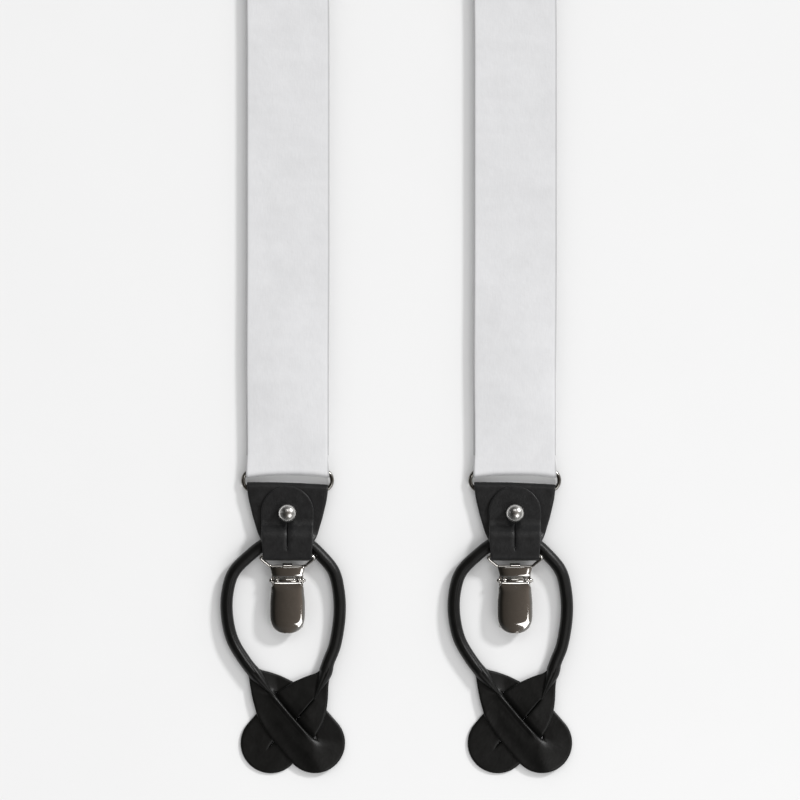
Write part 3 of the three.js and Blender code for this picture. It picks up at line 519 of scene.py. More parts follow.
def back_strap():
    bar = RINGS["back"].y - BAR
    run_y = np.arange(1.5, bar, 1.5)
    run = row(0, run_y, steps([(28, 1.5), (48, 0), (bar - 74, 0), (bar - 34, FACE)], run_y) + STRAP / 2)
    tail_y = np.arange(bar - 1, bar - 34.2, -1)
    tail = row(0, tail_y, steps([(0, 0.0), (20, 2.1)], bar - tail_y) + STRAP / 2)
    centre = np.vstack([run, half_turn(0, bar, -1), tail])
    y = centre[:, 1]
    half = STRAP_HALF - 0.35 * smooth(y, bar - 60, bar - 14) + 0.7 * smooth(y, bar - 9, bar)
    half = np.where(np.arange(len(half)) > len(run) + FOLD_POINTS, half - 0.25, half)
    body = ribbon(centre, X_AXIS, half, STRAP, 34, ring_bend(smooth(y, bar - 26, bar), 1))
    strap = mesh("back_strap_webbing", body, SATIN, places=body[2])
    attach(strap, "root")
    laid("back_strap")


back_strap()


def strap_return(side, hand):
    """The layer under a front strap, from its ring up to the slider's bar and round it."""
    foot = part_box(side + "_strap_return")[0].y / MM
    bar_y, bar_z, turn_radius = SLIDER_Y - 8, 1.6, 1.1
    edge, middle = bar_y + 2, hand * SPREAD
    y = np.arange(foot, edge, 1.6)
    lean = 0.25 * smooth(y, FRONT_Y + 40, FRONT_Y + 100) * (1 - smooth(y, edge - 40, edge - 8))
    angles = np.linspace(-math.pi / 2, math.pi / 2, 11)
    run = row(middle + lean, y, STRAP / 2)
    fold = row(middle, edge + turn_radius * np.cos(angles), bar_z + turn_radius * np.sin(angles))
    back = row(middle, np.arange(edge - 1, bar_y - 12, -1), bar_z + turn_radius)
    centre = np.vstack([run, fold, back])
    body = ribbon(centre, X_AXIS, STRAP_HALF - 0.1, STRAP, 30)
    layer = mesh(side + "_strap_return_webbing", body, SATIN, places=body[2])
    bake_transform(layer)
    laid(side + "_strap_return")


strap_return("left", -1)
strap_return("right", 1)


# ---------------------------------------------------------------- stitches
def stitches(name, path, paint, length=2.2, gap=1.0, width=0.55, height=0.4):
    """A row of thread stitches lying along a path."""
    path = np.asarray(path, float)
    total = line_length(path)
    count = max(1, int(total / (length + gap)))
    fine = resample(path, count * 8 + 1)
    parts = []
    for n in range(count):
        a, b = fine[8 * n + 1], fine[8 * n + 6]
        ahead = unit(b - a)
        side = unit(np.cross(ahead, (0, 0, 1)))
        up = np.cross(side, ahead)
        turn = np.linspace(0, 2 * math.pi, 8, endpoint=False)
        round_off = np.outer(np.cos(turn) * width / 2, side) + np.outer(np.sin(turn) * height / 2, up)
        rings = []
        for t in np.linspace(-1, 1, 7):
            s = math.sqrt(max(0.02, 1 - t * t))
            mid = (a + b) / 2 + ahead * t * np.linalg.norm(b - a) / 2 - up * height * 0.55 * (1 - s)
            rings.append(mid + s * round_off)
        parts.append(loft(rings))
    return mesh(name, joined(*parts), paint)


# ---------------------------------------------------------------- patch
PATCH_FRONT, PATCH_BACK = 31, 21  # half its width at each end
PATCH_END = 24
PATCH_ROUND = 6
PATCH_THICK = 1.2
PATCH_TOP = 4.35  # the outer leather's middle at its edge
SEAM_INSET = 2.6
SEAM_DIP = 0.0525


def patch_outline(inset=0.0, per=14):
    """The patch's outline, back to its first point: wider in front, with round corners."""
    front, back, end = PATCH_FRONT - inset, PATCH_BACK - inset, PATCH_END - inset
    r = PATCH_ROUND - inset * 0.6
    corners = [(-front, -end), (front, -end), (back, end), (-back, end)]
    out = []
    for k, corner in enumerate(corners):
        c = np.array(corner, float)
        before = unit(np.array(corners[k - 1], float) - c)
        after = unit(np.array(corners[(k + 1) % 4], float) - c)
        p0, p2 = c + before * r, c + after * r
        for t in np.linspace(0, 1, per):
            out.append((1 - t) ** 2 * p0 + 2 * t * (1 - t) * c + t * t * p2)
    return np.array(out + out[:1])


def patch_sheet():
    """A grid over the patch: rows along it and columns across."""
    right = patch_outline()
    right = right[right[:, 0] > 0]
    right = right[np.argsort(right[:, 1])]
    rows = []
    for y in spread(-PATCH_END, PATCH_END, 1.4, 34):
        half = np.interp(y, right[:, 1], right[:, 0])
        if abs(y) >= PATCH_END - 1e-9:
            half = (PATCH_FRONT if y < 0 else PATCH_BACK) - PATCH_ROUND
        rows.append(row(spread(-half, half, 1.0, 26), y))
    return np.array(rows)


def strap_hump(x, y):
    """How far the straps under the outer leather raise it."""
    back = smooth(-np.abs(x), -19.5, -16.5) * smooth(y, 0, 3)
    fronts = 0
    for hand in (-1, 1):
        across = x * math.cos(LEAN) - hand * MEET_X - hand * (MEET_Y - y) * math.sin(LEAN)
        fronts = fronts + smooth(-np.abs(across), -19.5, -16.5) * smooth(-y, 0, 3)
    return np.clip(0.6 * back + 0.5 * fronts, 0, 1)


def patch_top(inward, x, y):
    """The height of the outer leather's middle, that far in from its edge."""
    return PATCH_TOP + 0.75 * smooth(inward, 0, 3.5) * (0.45 + 0.55 * strap_hump(x, y))


def patch():
    flat = patch_sheet()
    x, y = flat[..., 0], flat[..., 1]
    rim = patch_outline()
    inward = from_edge(flat, rim)
    dip = SEAM_DIP * np.exp(-(((inward - SEAM_INSET) / 0.9) ** 2))
    heights = {"outer": patch_top(inward, x, y) - dip, "inner": np.full_like(x, PATCH_THICK / 2)}
    for layer, z in heights.items():
        body = leaf(flat, np.dstack([x, y, z]), PATCH_THICK, upright=True, round_edge=0.6)
        dress(mesh("patch_" + layer, body, LEATHER), "root", "grained_leather", f"patch_{layer}_leather")
    line = resample(patch_outline(SEAM_INSET), 400)
    z = patch_top(from_edge(line[None], rim)[0], *line.T) + 0.62
    dress(stitches("patch_seam", np.column_stack([line, z]), THREAD), "root", "grained_leather")
    dress(patch_welt(), "root", "grained_leather")


def patch_welt():
    """A thin welt closes the edge between the two leathers, except where a strap comes out."""
    line = resample(patch_outline(0.9), 220)[:-1]
    free = strap_hump(*line.T) <= 0.05
    breaks = np.flatnonzero(np.diff(free)) + 1
    runs = zip(np.split(line, breaks), np.split(free, breaks))
    strips = [wall_strip(row(*run.T, 2.7), 3.0, 1.3) for run, is_free in runs if is_free[0] and len(run) > 3]
    return mesh("patch_welt", joined(*strips), LEATHER)


def wall_strip(path, tall, wide):
    """An upright strip along a path in plan."""
    side = unit(np.cross(unit(np.gradient(path, axis=0)), (0, 0, 1)))
    section = sheet_section(tall / 2, wide, 4)
    rings = [p + section[:, 1:] * s + section[:, :1] * np.array([0, 0, 1]) for p, s in zip(path, side)]
    return loft(rings)


patch()


# ---------------------------------------------------------------- ring and link
def oval(count=112):
    corner = 14.65
    arc = np.linspace(-math.pi / 2, math.pi / 2, 28)
    right = np.stack([corner + BAR * np.cos(arc), BAR * np.sin(arc)], 1)
    left = np.stack([-corner - BAR * np.cos(arc), -BAR * np.sin(arc)], 1)
    line = resample(np.vstack([right, left]), count, closed=True)
    return np.column_stack([line, np.full(count, RING_Z)])


def ring(side):
    body = tube(oval(), 0.9, 18, closed=True)
    piece(side, "ring_wire", body, DARK_NICKEL, "dark_nickel", "ring", "strap_ring")


# The link's middle line at each end: Y, Z and half its width.
LINK_TOP = (-32.4, 6.98, 11.9)
LINK_FOOT = (-37.0, 5.3, 7.6)
LINK_RADIUS = 0.72


def link(side):
    y, z, half = LINK_TOP
    fy, fz, fh = LINK_FOOT
    one = [(0, y, z), (half - 3, y, z), (half - 1.4, y - 0.05, z), (half - 0.55, y - 0.45, z - 0.12),
           (half - 0.6, y - 1.2, z - 0.4), (fh + 1.1, fy + 1.1, fz + 0.4), (fh + 0.1, fy + 0.25, fz + 0.08),
           (fh - 1.0, fy, fz), (fh - 3.0, fy, fz)]
    points = one + [(-a, b, c) for a, b, c in one[:0:-1]]
    path = resample(spline(points, 10, closed=True), 150, closed=True)
    body = tube(path, LINK_RADIUS, 16, closed=True)
    piece(side, "link_wire", body, NICKEL, "polished_nickel", "link", "clip_link")


# ---------------------------------------------------------------- loop cord
CORD = [
    (-14.4, -82.8), (-18.3, -77.8), (-23.7, -68.6), (-26.1, -57.8), (-25.8, -47.9), (-23.2, -39.6),
    (-16.3, -32.3), (-9, -27.0), (0, -24.8), (8.4, -27.1), (14.8, -32.7), (19.8, -39.1), (21.9, -47.1),
    (22.4, -57.8), (20.3, -71.2), (17.9, -77.4), (16.1, -82.3),
]
CORD_RADIUS = 2.7
SLEEVE_Z = 3.8


def cord_path():
    points = [(x, y, CORD_RADIUS + (SLEEVE_Z - CORD_RADIUS) * float(smooth(y, -46, -30))) for x, y in CORD]
    return spline(points, 16)


PATH = cord_path()
CORD_POINTS = 260
SLEEVE = PATH[(np.abs(PATH[:, 0]) < 17) & (PATH[:, 1] > -40)]
SLEEVE = SLEEVE[np.argsort(SLEEVE[:, 0])]


def cord_y(x):
    """Where the cord's middle line is under the tab."""
    return np.interp(x, SLEEVE[:, 0], SLEEVE[:, 1])


def signed(turn):
    """The same angles from -pi to pi."""
    return np.where(turn > math.pi, turn - 2 * math.pi, turn)


def loop_cord(side):
    path = resample(PATH, CORD_POINTS)
    where = np.linspace(0, 1, CORD_POINTS)
    ends = 1 - 0.03 * (1 - smooth(np.minimum(where, 1 - where), 0, 0.004))

    def rolled(turn):
        seam = signed(turn) - 0.45
        return 1 - 0.10 * np.exp(-((seam / 0.10) ** 2)) + 0.025 * np.exp(-(((np.abs(seam) - 0.27) / 0.13) ** 2))

    points, faces = tube(path, CORD_RADIUS * 0.985, 48, shape=rolled, taper=ends)
    body = mesh(side + "_rolled_cord", (put(side, points), faces), ROLLED)
    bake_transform(body)
    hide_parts(side + "_loop_cord")
    line = put(side, path) * MM


# ---------------------------------------------------------------- tab
TAB_HALF = [(0, 17.7), (-0.9, 17.7), (-4, 17.4), (-8, 16.9), (-10.3, 16.4), (-16, 15.0), (-19.9, 13.8),
            (-23, 12.9), (-26.4, 11.6), (-29, 10.6), (-34, 9.6)]


def tab_side(x, count=110):
    """The tab's middle line round the ring and the cord, in Y and Z, for one place across it."""
    far = min(1.0, abs(x) / 17.5)
    slant = -0.55 * x / 17.5 - 0.35 * far**2
    ring_y, ring_r = -3.1 + slant, 1.7
    cord_at, cord_r = float(cord_y(np.clip(x, -13, 13))), 3.3
    top = [(ring_y, RING_Z + ring_r), (ring_y - 1.8, RING_Z + ring_r + 0.03), (ring_y - 4.4, 3.72),
           (-11, 3.5), (-15.5, 3.55), (cord_at + 6.6, 4.0), (cord_at + 4.0, 5.1)]
    round_cord = [(cord_at + cord_r * math.cos(a), SLEEVE_Z + cord_r * math.sin(a))
                  for a in np.radians(np.arange(50, 291, 20))]
    under = [(cord_at + 4.6, 1.1), (-15.5, 1.5), (-10, 1.5), (ring_y - 3.2, 0.8), (ring_y, RING_Z - ring_r)]
    round_ring = [(ring_y + ring_r * math.cos(a), RING_Z + ring_r * math.sin(a))
                  for a in np.radians(np.arange(-70, 71, 20))]
    return resample(spline(top + round_cord + under + round_ring, 10, closed=True), count, closed=True)


def tab(side):
    middle = tab_side(0.0)
    half = through(TAB_HALF, tab_side(12.0)[:, 0])
    half = half - 0.5 * smooth(-middle[:, 1], -2.2, -1.2) * smooth(-middle[:, 0], 5, 8)
    samples = np.linspace(-17.8, 17.8, 41)
    family = np.array([tab_side(x) for x in samples])
    ahead = unit(np.roll(family, -1, 1) - np.roll(family, 1, 1))
    up = np.stack([ahead[..., 1], -ahead[..., 0]], -1)
    rings = []
    for i, half_here in enumerate(half):
        xs, rise = sheet_section(half_here, 1.0, 34).T
        yz, n = (np.stack([np.interp(xs, samples, of[:, i, k]) for k in (0, 1)], 1) for of in (family, up))
        rings.append(np.column_stack([xs, yz - unit(n) * rise[:, None]]))
    piece(side, "tab_leather", loft(rings, closed=True), LEATHER, "grained_leather", "tab", "tab")


# ---------------------------------------------------------------- tongue
def tongue_line(x, rows):
    """The tongue's middle surface for one place across: over the tab, the sleeve and round the link."""
    y_top = -2.4
    crest = -24.4 + 0.25 * (float(cord_y(np.clip(x, -9, 9))) + 24.8)
    low, high = 5.3, 8.45
    link_y, link_z, r = LINK_TOP[0], LINK_TOP[1], 0.62 + 0.2 + 0.6
    points = [(y_top, low), (-8, low), (-13, low), (-17, low + 0.02), (-19.5, low + 0.7), (-22.2, high - 0.55),
              (crest, high + 0.1), (-27.4, high - 0.05), (-30.2, link_z + r - 0.03), (link_y, link_z + r)]
    points += [(link_y + r * math.cos(a), link_z + r * math.sin(a)) for a in np.radians(np.arange(110, 271, 20))]
    points += [(link_y + 1.6, link_z - r + 0.15)]
    return resample(spline(points, 8), rows)


def tongue(side):
    rows, inner = 116, 15
    samples = np.linspace(-11.5, 11.5, 13)
    family = np.array([tongue_line(x, rows) for x in samples])
    middle = tongue_line(0.0, rows)
    along = np.r_[0, np.cumsum(np.linalg.norm(np.diff(middle, axis=0), axis=1))]
    radius = 11.35
    round_rows = radius * (1 - np.cos(np.linspace(0.10, math.pi / 2, 16)))
    keep = np.r_[0.0, round_rows, np.arange(radius + 0.5, along[-1], 0.45), along[-1]]
    line = np.stack([np.interp(keep, along, middle[:, k]) for k in (0, 1)], 1)
    half = np.where(keep < radius, np.sqrt(np.maximum(radius**2 - (radius - keep) ** 2, 0.8)),
                    through([(-1, radius), (-14, radius), (-20, 11.15), (-27, 10.9), (-34.4, 10.4)], line[:, 0]))
    turned = np.argmin(line[:, 0])
    order = np.arange(len(keep))
    half = half - 0.6 * smooth(order, turned, turned + 12)
    open_rows = np.where((order <= turned) & (line[:, 0] < -15.0) & (line[:, 0] > -29.9))[0]
    first, last = open_rows[0], open_rows[-1]
    slit = np.zeros(len(keep))
    t = np.linspace(0, 1, last - first + 1)
    arch = np.sin(math.pi * t)
    slit[first : last + 1] = 0.13 * arch**0.4 + 0.9 * np.exp(-(t / 0.09) ** 2) * arch**0.3
    slit[first], slit[last] = 0.0, 0.0
    flat, surface = [], []
    for s, here, half_here, gap in zip(keep, line[:, 0], half, slit):
        x = np.r_[spread(-half_here, -gap, 0.6, inner), spread(gap, half_here, 0.6, inner)]
        flat.append(row(x, -s))
        nearest = np.argmin(np.abs(samples - x[:, None]), axis=1)
        y, z = (np.array([np.interp(s, along, family[n, :, k]) for n in nearest]) for k in (0, 1))
        crease = 0.55 * np.exp(-((np.abs(x) - 0.15 * (here + 24)) / 0.7) ** 2)
        pucker = -crease * float(smooth(here, -24, -19)) * float(smooth(-here, 15.5, 18))
        furrow = 0.35 * np.exp(-((x / 0.8) ** 2)) * float(smooth(-here, 20, 23)) * float(smooth(here, -31, -29))
        dish = -0.25 * np.exp(-((np.hypot(x, here + 14) / 5.5) ** 2)) * (here > -24)
        surface.append(row(x, y, z + (pucker - furrow) + dish))
    seam = len(spread(-1, 0, 0.6, inner)) - 1
    body = leaf(np.array(flat), np.array(surface), 1.2, seam=seam, slit=(first, last), round_edge=0.45)
    piece(side, "tongue_leather", body, LEATHER, "grained_leather", "tab", "clip_tongue")


STUD_Y = -14


def stud(side):
    low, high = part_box(side + "_ball_stud")
    base, top = low.z / MM, high.z / MM
    centre = top - 3
    turn = np.linspace(-0.36 * math.pi, 0.5 * math.pi, 26)
    profile = [(0.02, base), (1.5, base), (1.5, centre - 2.9)]
    profile += [(max(0.02, 3.9 * math.cos(t)), centre + 3 * math.sin(t)) for t in turn]
    points, faces = lathe(profile, 44)
    points[:, 1] += STUD_Y
    piece(side, "ball", (points, faces), BALL, "polished_nickel", "tab", "ball_stud")
    low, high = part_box(side + "_stud_rivet")
    a, b = low.z / MM, high.z / MM
    head = [(0.02, a), (2.7, a), (3.1, a + 0.15), (3.2, a + 0.35), (3.0, a + 0.6), (1.5, a + 0.62)]
    points, faces = lathe(head + [(1.5, b), (0.02, b)], 36)
    points[:, 1] += STUD_Y
    piece(side, "rivet", (points, faces), NICKEL, "polished_nickel", "tab", "stud_rivet")


# ---------------------------------------------------------------- paddles
PADDLE = 1.3
HIGH = 1.75
PADDLE_ROUND = 13  # radius of a paddle's end
LEFT_END, RIGHT_END = 39.8, 38.3
SLIT = (12.3, 39.0)

# Where each paddle starts, the way it runs and the way across it.
LEFT_ROOT, LEFT_AXIS, LEFT_ACROSS = np.array([(-14.3, -83.0), (0.655, -0.756), (0.756, 0.655)])
RIGHT_ROOT, RIGHT_AXIS, RIGHT_ACROSS = np.array([(17.5, -84.0), (-0.647, -0.763), (0.763, -0.647)])

# How far each side is from that line, by the place along it.
LEFT_SIDES = (
    [(-5, 1.3), (-3, 1.8), (-1, 2.5), (2.3, 4.6), (7.5, 7.7), (14.5, 11.1), (20, 12.3), (26, 12.9), (30, 13)],
    [(-5, 2.0), (-2, 2.3), (0.4, 2.8), (4.4, 5.6), (8.5, 7.9), (14.3, 10.4), (20, 12.0), (26, 12.8), (30, 13)],
)
RIGHT_SIDES = (
    [(-5, 5.6), (-1.8, 4.5), (0, 4.2), (2.1, 4.4), (6.7, 7.2), (11.6, 9.6), (16, 11), (20, 12.1), (26, 12.8),
     (30, 13)],
    [(-5, -1.6), (0, 0.9), (3.3, 2.9), (6.3, 5.3), (8.5, 7.0), (12.3, 9.4), (16, 11.2), (20, 12.2), (26, 12.8),
     (30, 13)],
)


def side_half(table, u, end):
    fine = np.linspace(-8, 60, 341)
    soft = np.convolve(np.pad(through(table, fine), 6, mode="edge"), np.ones(13) / 13, mode="valid")
    cap = np.sqrt(np.maximum(PADDLE_ROUND**2 - np.clip(u - end, 0, PADDLE_ROUND) ** 2, 0.5))
    return np.where(u > end, cap, np.interp(u, fine, soft))


def over(v, half):
    return smooth(v, 0.9 - half, 0.9 + half)


def paddle_rows(end):
    cap = end + PADDLE_ROUND * np.sin(np.linspace(0, 0.492 * math.pi, 16))[1:]
    return np.r_[np.linspace(-4.4, end, 60), cap]


def paddle_grid(sides, end, us, middle, opening, inner=20):
    """A paddle's flat shape, open along its slit, with the slit's column and rows."""
    left, right = (side_half(table, us, end) for table in sides)
    low, high = np.maximum(middle - opening, 0.8 - left), np.minimum(middle + opening, right - 0.3)
    high = np.maximum(high, low)
    flat = []
    for i, u in enumerate(us):
        v = np.r_[spread(-left[i], low[i], 0.65, inner), spread(high[i], right[i], 0.65, inner)]
        flat.append(row(v, u))
    rows = np.where(opening > 0)[0]
    return np.array(flat), len(spread(-1, 0, 0.65, inner)) - 1, (rows[0] - 1, rows[-1] + 1)


def paddle_leaf(flat, xy, z, seam, slit):
    """A paddle's body, and views of the points of its top and its underside."""
    body = leaf(flat, np.dstack([xy, z]), PADDLE, seam=seam, slit=slit, upright=True, round_edge=0.9)
    top, bottom = np.split(body[0], 2)
    return body, top, bottom

def roll(v, middle, width, height):
    return height * np.sqrt(np.clip(1 - ((v - middle) / width) ** 2, 0, 1)) ** 1.2


def opening_at(us, widest, power):
    inside = np.clip((us - SLIT[0]) / (SLIT[1] - SLIT[0]), 0, 1)
    return np.where((us <= SLIT[0]) | (us >= SLIT[1]), 0, widest * np.sin(math.pi * inside) ** power)


def ridge(path_end, tip, tip_z, aside=0.0):
    """The cord's end, which runs down into its paddle and flattens to a point."""
    start, ahead = path_end
    root = start + ahead * 0.5 + np.array([aside, 0, 0])
    tip = np.array([*tip, tip_z])
    bend = (root + tip) / 2 + np.array([0, 0, 0.25])
    back = start - ahead * 3.4 + np.array([aside * 0.4, 0, 0])
    path = resample(spline([back, (back + root) / 2, root, bend, tip], 12), 54)
    t = np.linspace(0, 1, len(path))
    size = (0.93 + 0.10 * smooth(t, 0, 0.14)) * (1 - 0.80 * smooth(t, 0.22, 1.0) ** 0.9)

    def grooved(turn):
        turn = signed(turn)
        return 1 - 0.13 * np.exp(-((turn / 0.20) ** 2)) + 0.02 * np.exp(-(((np.abs(turn) - 0.5) / 0.2) ** 2))

    return tube(path, CORD_RADIUS * 0.985, 36, shape=grooved, taper=size)


def cord_end(which):
    path = resample(PATH, CORD_POINTS)
    ahead = unit(np.gradient(path, axis=0))
    return (path[0], -ahead[0]) if which == "left" else (path[-1], ahead[-1])


def left_paddle(side):
    us = paddle_rows(LEFT_END)
    flat, seam, slit = paddle_grid(LEFT_SIDES, LEFT_END, us, 1.5 * smooth(us, 5, 12.3), opening_at(us, 1.2, 0.4))
    v, u = flat[..., 0], flat[..., 1]
    past = np.maximum(np.maximum(SLIT[0] - u, u - SLIT[1]), 0)
    z = HIGH * (1 - over(v, 1.6 + past * 0.9)) + PADDLE / 2
    puff = np.exp(-(((v - 0.2) / 2.6) ** 2)) * (v < 1.2) * smooth(u, 9, 15) * smooth(-u, -40, -33)
    rest = smooth(-v, 4, 10) * smooth(u, 12, 22)
    z = z + 0.75 * puff - 0.42 * rest
    z = z + 0.5 * np.exp(-(((u - 46) / 7) ** 2)) * smooth(-np.abs(v), -11, -2)
    xy = LEFT_ROOT + u[..., None] * LEFT_AXIS + v[..., None] * LEFT_ACROSS
    body, top, bottom = paddle_leaf(flat, xy, z, seam, slit)
    v, u = v.ravel(), u.ravel()
    lip = roll(v, -0.35, 0.9, 0.32) * smooth(u, 10, 13.5) * (1 - smooth(u, 33, 38.5))
    groove = 0.22 * np.exp(-(((v + 1.4) / 0.4) ** 2)) * smooth(u, 12, 15) * (1 - smooth(u, 31, 37))
    top[:, 2] += lip - groove
    top[:, 2] -= 0.30 * smooth(-v, 5, 11) * smooth(u, 14, 24)
    keel = roll(v, 0, 2.6, 1.0) * (1 - smooth(u, 1, 9))
    bottom[:, 2] = np.maximum(bottom[:, 2] - keel, 0.02)
    body = joined(body, ridge(cord_end("left"), (-5.6, -93.2), 3.0))
    return piece(side, "left_paddle_leather", body, ROLLED, "black_leather", "loop", "paddle_left", 60)


def right_paddle(side):
    us = paddle_rows(RIGHT_END)
    middle = 1.9 * smooth(us, 4, 12) - 1.4 * smooth(us, 24, 38) - 2.8 * (1 - smooth(us, -4, 3))
    flat, seam, slit = paddle_grid(RIGHT_SIDES, RIGHT_END, us, middle, opening_at(us, 0.13, 0.3))
    v, u = flat[..., 0], flat[..., 1]
    xy = RIGHT_ROOT + u[..., None] * RIGHT_AXIS + v[..., None] * RIGHT_ACROSS
    cross = ((xy - LEFT_ROOT) * LEFT_ACROSS).sum(-1)
    puff = np.exp(-((np.abs(v - 2) / 6) ** 2)) * smooth(u, 6, 12) * smooth(cross, 2, 6) * smooth(-u, -26, -18)
    body, top, bottom = paddle_leaf(flat, xy, HIGH * over(cross, 1.9) + PADDLE / 2 + 0.45 * puff, seam, slit)
    v, u = v.ravel(), u.ravel()
    top[:, 2] += roll(v, 1.45, 0.5, 0.2) * smooth(u, 10, 13) * (1 - smooth(u, 22, 26))
    keel = roll(v, -0.8, 2.6, HIGH) * (1 - smooth(u, 1, 9))
    bottom[:, 2] = np.maximum(bottom[:, 2] - keel, 0.02)
    body = joined(body, ridge(cord_end("right"), (11.6, -94.2), 3.3, 0.55))
    return piece(side, "right_paddle_leather", body, ROLLED, "black_leather", "loop", "paddle_right", 60)


# ---------------------------------------------------------------- clip
PIN = (-43.0, 5.6)  # the hinge pin's Y and Z


def panel(ys, half_at, height_at, thick, edge, inner, upright=False):
    """A sheet of the clip, from its half width and the height of its middle at each row."""
    flat, surface = [], []
    for y in ys:
        half = float(half_at(y))
        x = spread(-half, half, edge, inner)
        flat.append(row(x, y))
        surface.append(row(x, y, height_at(x, y, half)))
    return leaf(np.array(flat), np.array(surface), thick, upright=upright)


def top_height(x, y, half):
    fall = 0.7 * float(smooth(-y, 40.4, 42.4))
    return 6.4 - 0.45 * (np.abs(x) / half) ** 5 - fall + 0.4 * (1 - (x / half) ** 2)


def clip_body(side):
    """The pressed clip: a back plate, two ears, a top plate and the hook round the link."""
    back = panel(-spread(38.8, 64.5, 0.5, 36), lambda y: 6.75 * (1 - 0.35 * float(smooth(-y, 62.6, 64.5)) ** 2),
                 lambda x, y, half: 0.4, 0.8, 0.5, 19, upright=True)
    top = panel(-spread(37.1, 41.55, 0.4, 14), lambda y: 7.4 - 0.8 * smooth(-y, 37.1, 41.2), top_height,
                0.8, 0.5, 22)
    ears = [block((x, -44.35, 0.1), (x + 0.8, -38.9, 6.3), 0.3) for x in (-6.75, 5.95)]
    fy, fz = LINK_FOOT[:2]
    turn = np.radians(np.arange(80, -171, -22))
    curl = [(fy - 0.6, 6.5)] + [(fy + 1.2 * math.cos(a), fz + 1.2 * math.sin(a)) for a in turn]
    curl = resample(spline(curl, 6), 30)
    hook = ribbon(row(0, *curl.T), X_AXIS, 2.2, 0.6, 10)[:2]
    collars = [rod(x, x + 0.35, *PIN, 1.15) for x in (-7.1, 6.75)]
    shell = joined(back, top, *ears, hook, *collars)
    piece(side, "clip_shell", shell, NICKEL, "polished_nickel", "clip", "clip_body", 40)


def clip_pin(side):
    body = rod(-7.85, 7.85, *PIN, 0.75, 0.35)
    piece(side, "hinge_pin", body, NICKEL, "polished_nickel", "clip", "clip_pin")


def lever_half(y):
    d = -y
    side = 6.0 + 0.95 * smooth(d, 44.5, 46.0) + 0.5 * smooth(d, 46, 53) - 0.25 * smooth(d, 57, 62)
    end = (1 - np.clip((d - 58.6) / 7.1, 0, 0.996) ** 2.4) ** (1 / 2.4)
    return side * end


def lever_height(x, y, half):
    """The lever's domed middle."""
    f, d = np.abs(x) / half, -y
    arch = math.sin(math.pi * min(1, max(0, (d - 43.3) / 23))) ** 0.8
    roof = 6.7 + 0.35 * float(smooth(d, 43.3, 44.4)) + 0.35 * arch
    fall = 0.75 * float(smooth(d, 60, 65.8)) ** 1.4
    crown = 0.62 * (1 - f**2.0) * float(smooth(d, 43.6, 49)) * (1 - 0.3 * float(smooth(d, 60, 66)))
    flange = -0.7 * f**10 * float(smooth(d, 44.6, 47))
    return roof - fall + crown + flange - 0.75


def clip_lever(side):
    tip = 58.6 + 7.1 * np.sin(np.linspace(0.05, 0.48 * math.pi, 22))
    ys = -np.r_[43.35, 43.6, 43.9, np.arange(44.2, 58.4, 0.4), tip]
    shell = panel(ys, lever_half, lever_height, 0.75, 0.7, 25)
    body = joined(shell, rod(-3.6, 3.6, *PIN, 1.42, 0.2, 32))
    piece(side, "lever_shell", body, NICKEL, "polished_nickel", "lever", "clip_lever", 45)


def clip_jaw(side):
    half = 5.6
    plate = block((-half, -63.5, 3.3), (half, -44.9, 4.1), 0.3)
    lugs = [rod(a, b, *PIN, 1.3, 0.2, 32) for a, b in ((-half, -3.9), (3.9, half))]
    arms = [block((a, -45.6, 3.3), (b, -42.9, 5.2), 0.25) for a, b in ((-half, -3.9), (3.9, half))]
    body = joined(plate, *lugs, *arms)
    piece(side, "jaw_plate", body, NICKEL, "polished_nickel", "jaw", "clip_jaw", 40)


def pads(side):
    for name, node, body in (("lower_pad", "body_pad", "clip"), ("upper_pad", "jaw_pad", "jaw")):
        low, high = (np.array(corner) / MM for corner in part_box(side + "_" + node))
        thing = mesh(side + "_" + name, block(low, high, 0.2), RUBBER, sharp=40)
        dress(thing, side + "_" + body, "black_rubber", side + "_" + node)


def strap_end(side):
    ring(side)
    tab(side)
    tongue(side)
    stud(side)
    paddles = [left_paddle(side), right_paddle(side)]
    loop_cord(side)
    link(side)
    clip_body(side)
    clip_pin(side)
    clip_lever(side)
    clip_jaw(side)
    pads(side)


for side in ENDS:
    strap_end(side)


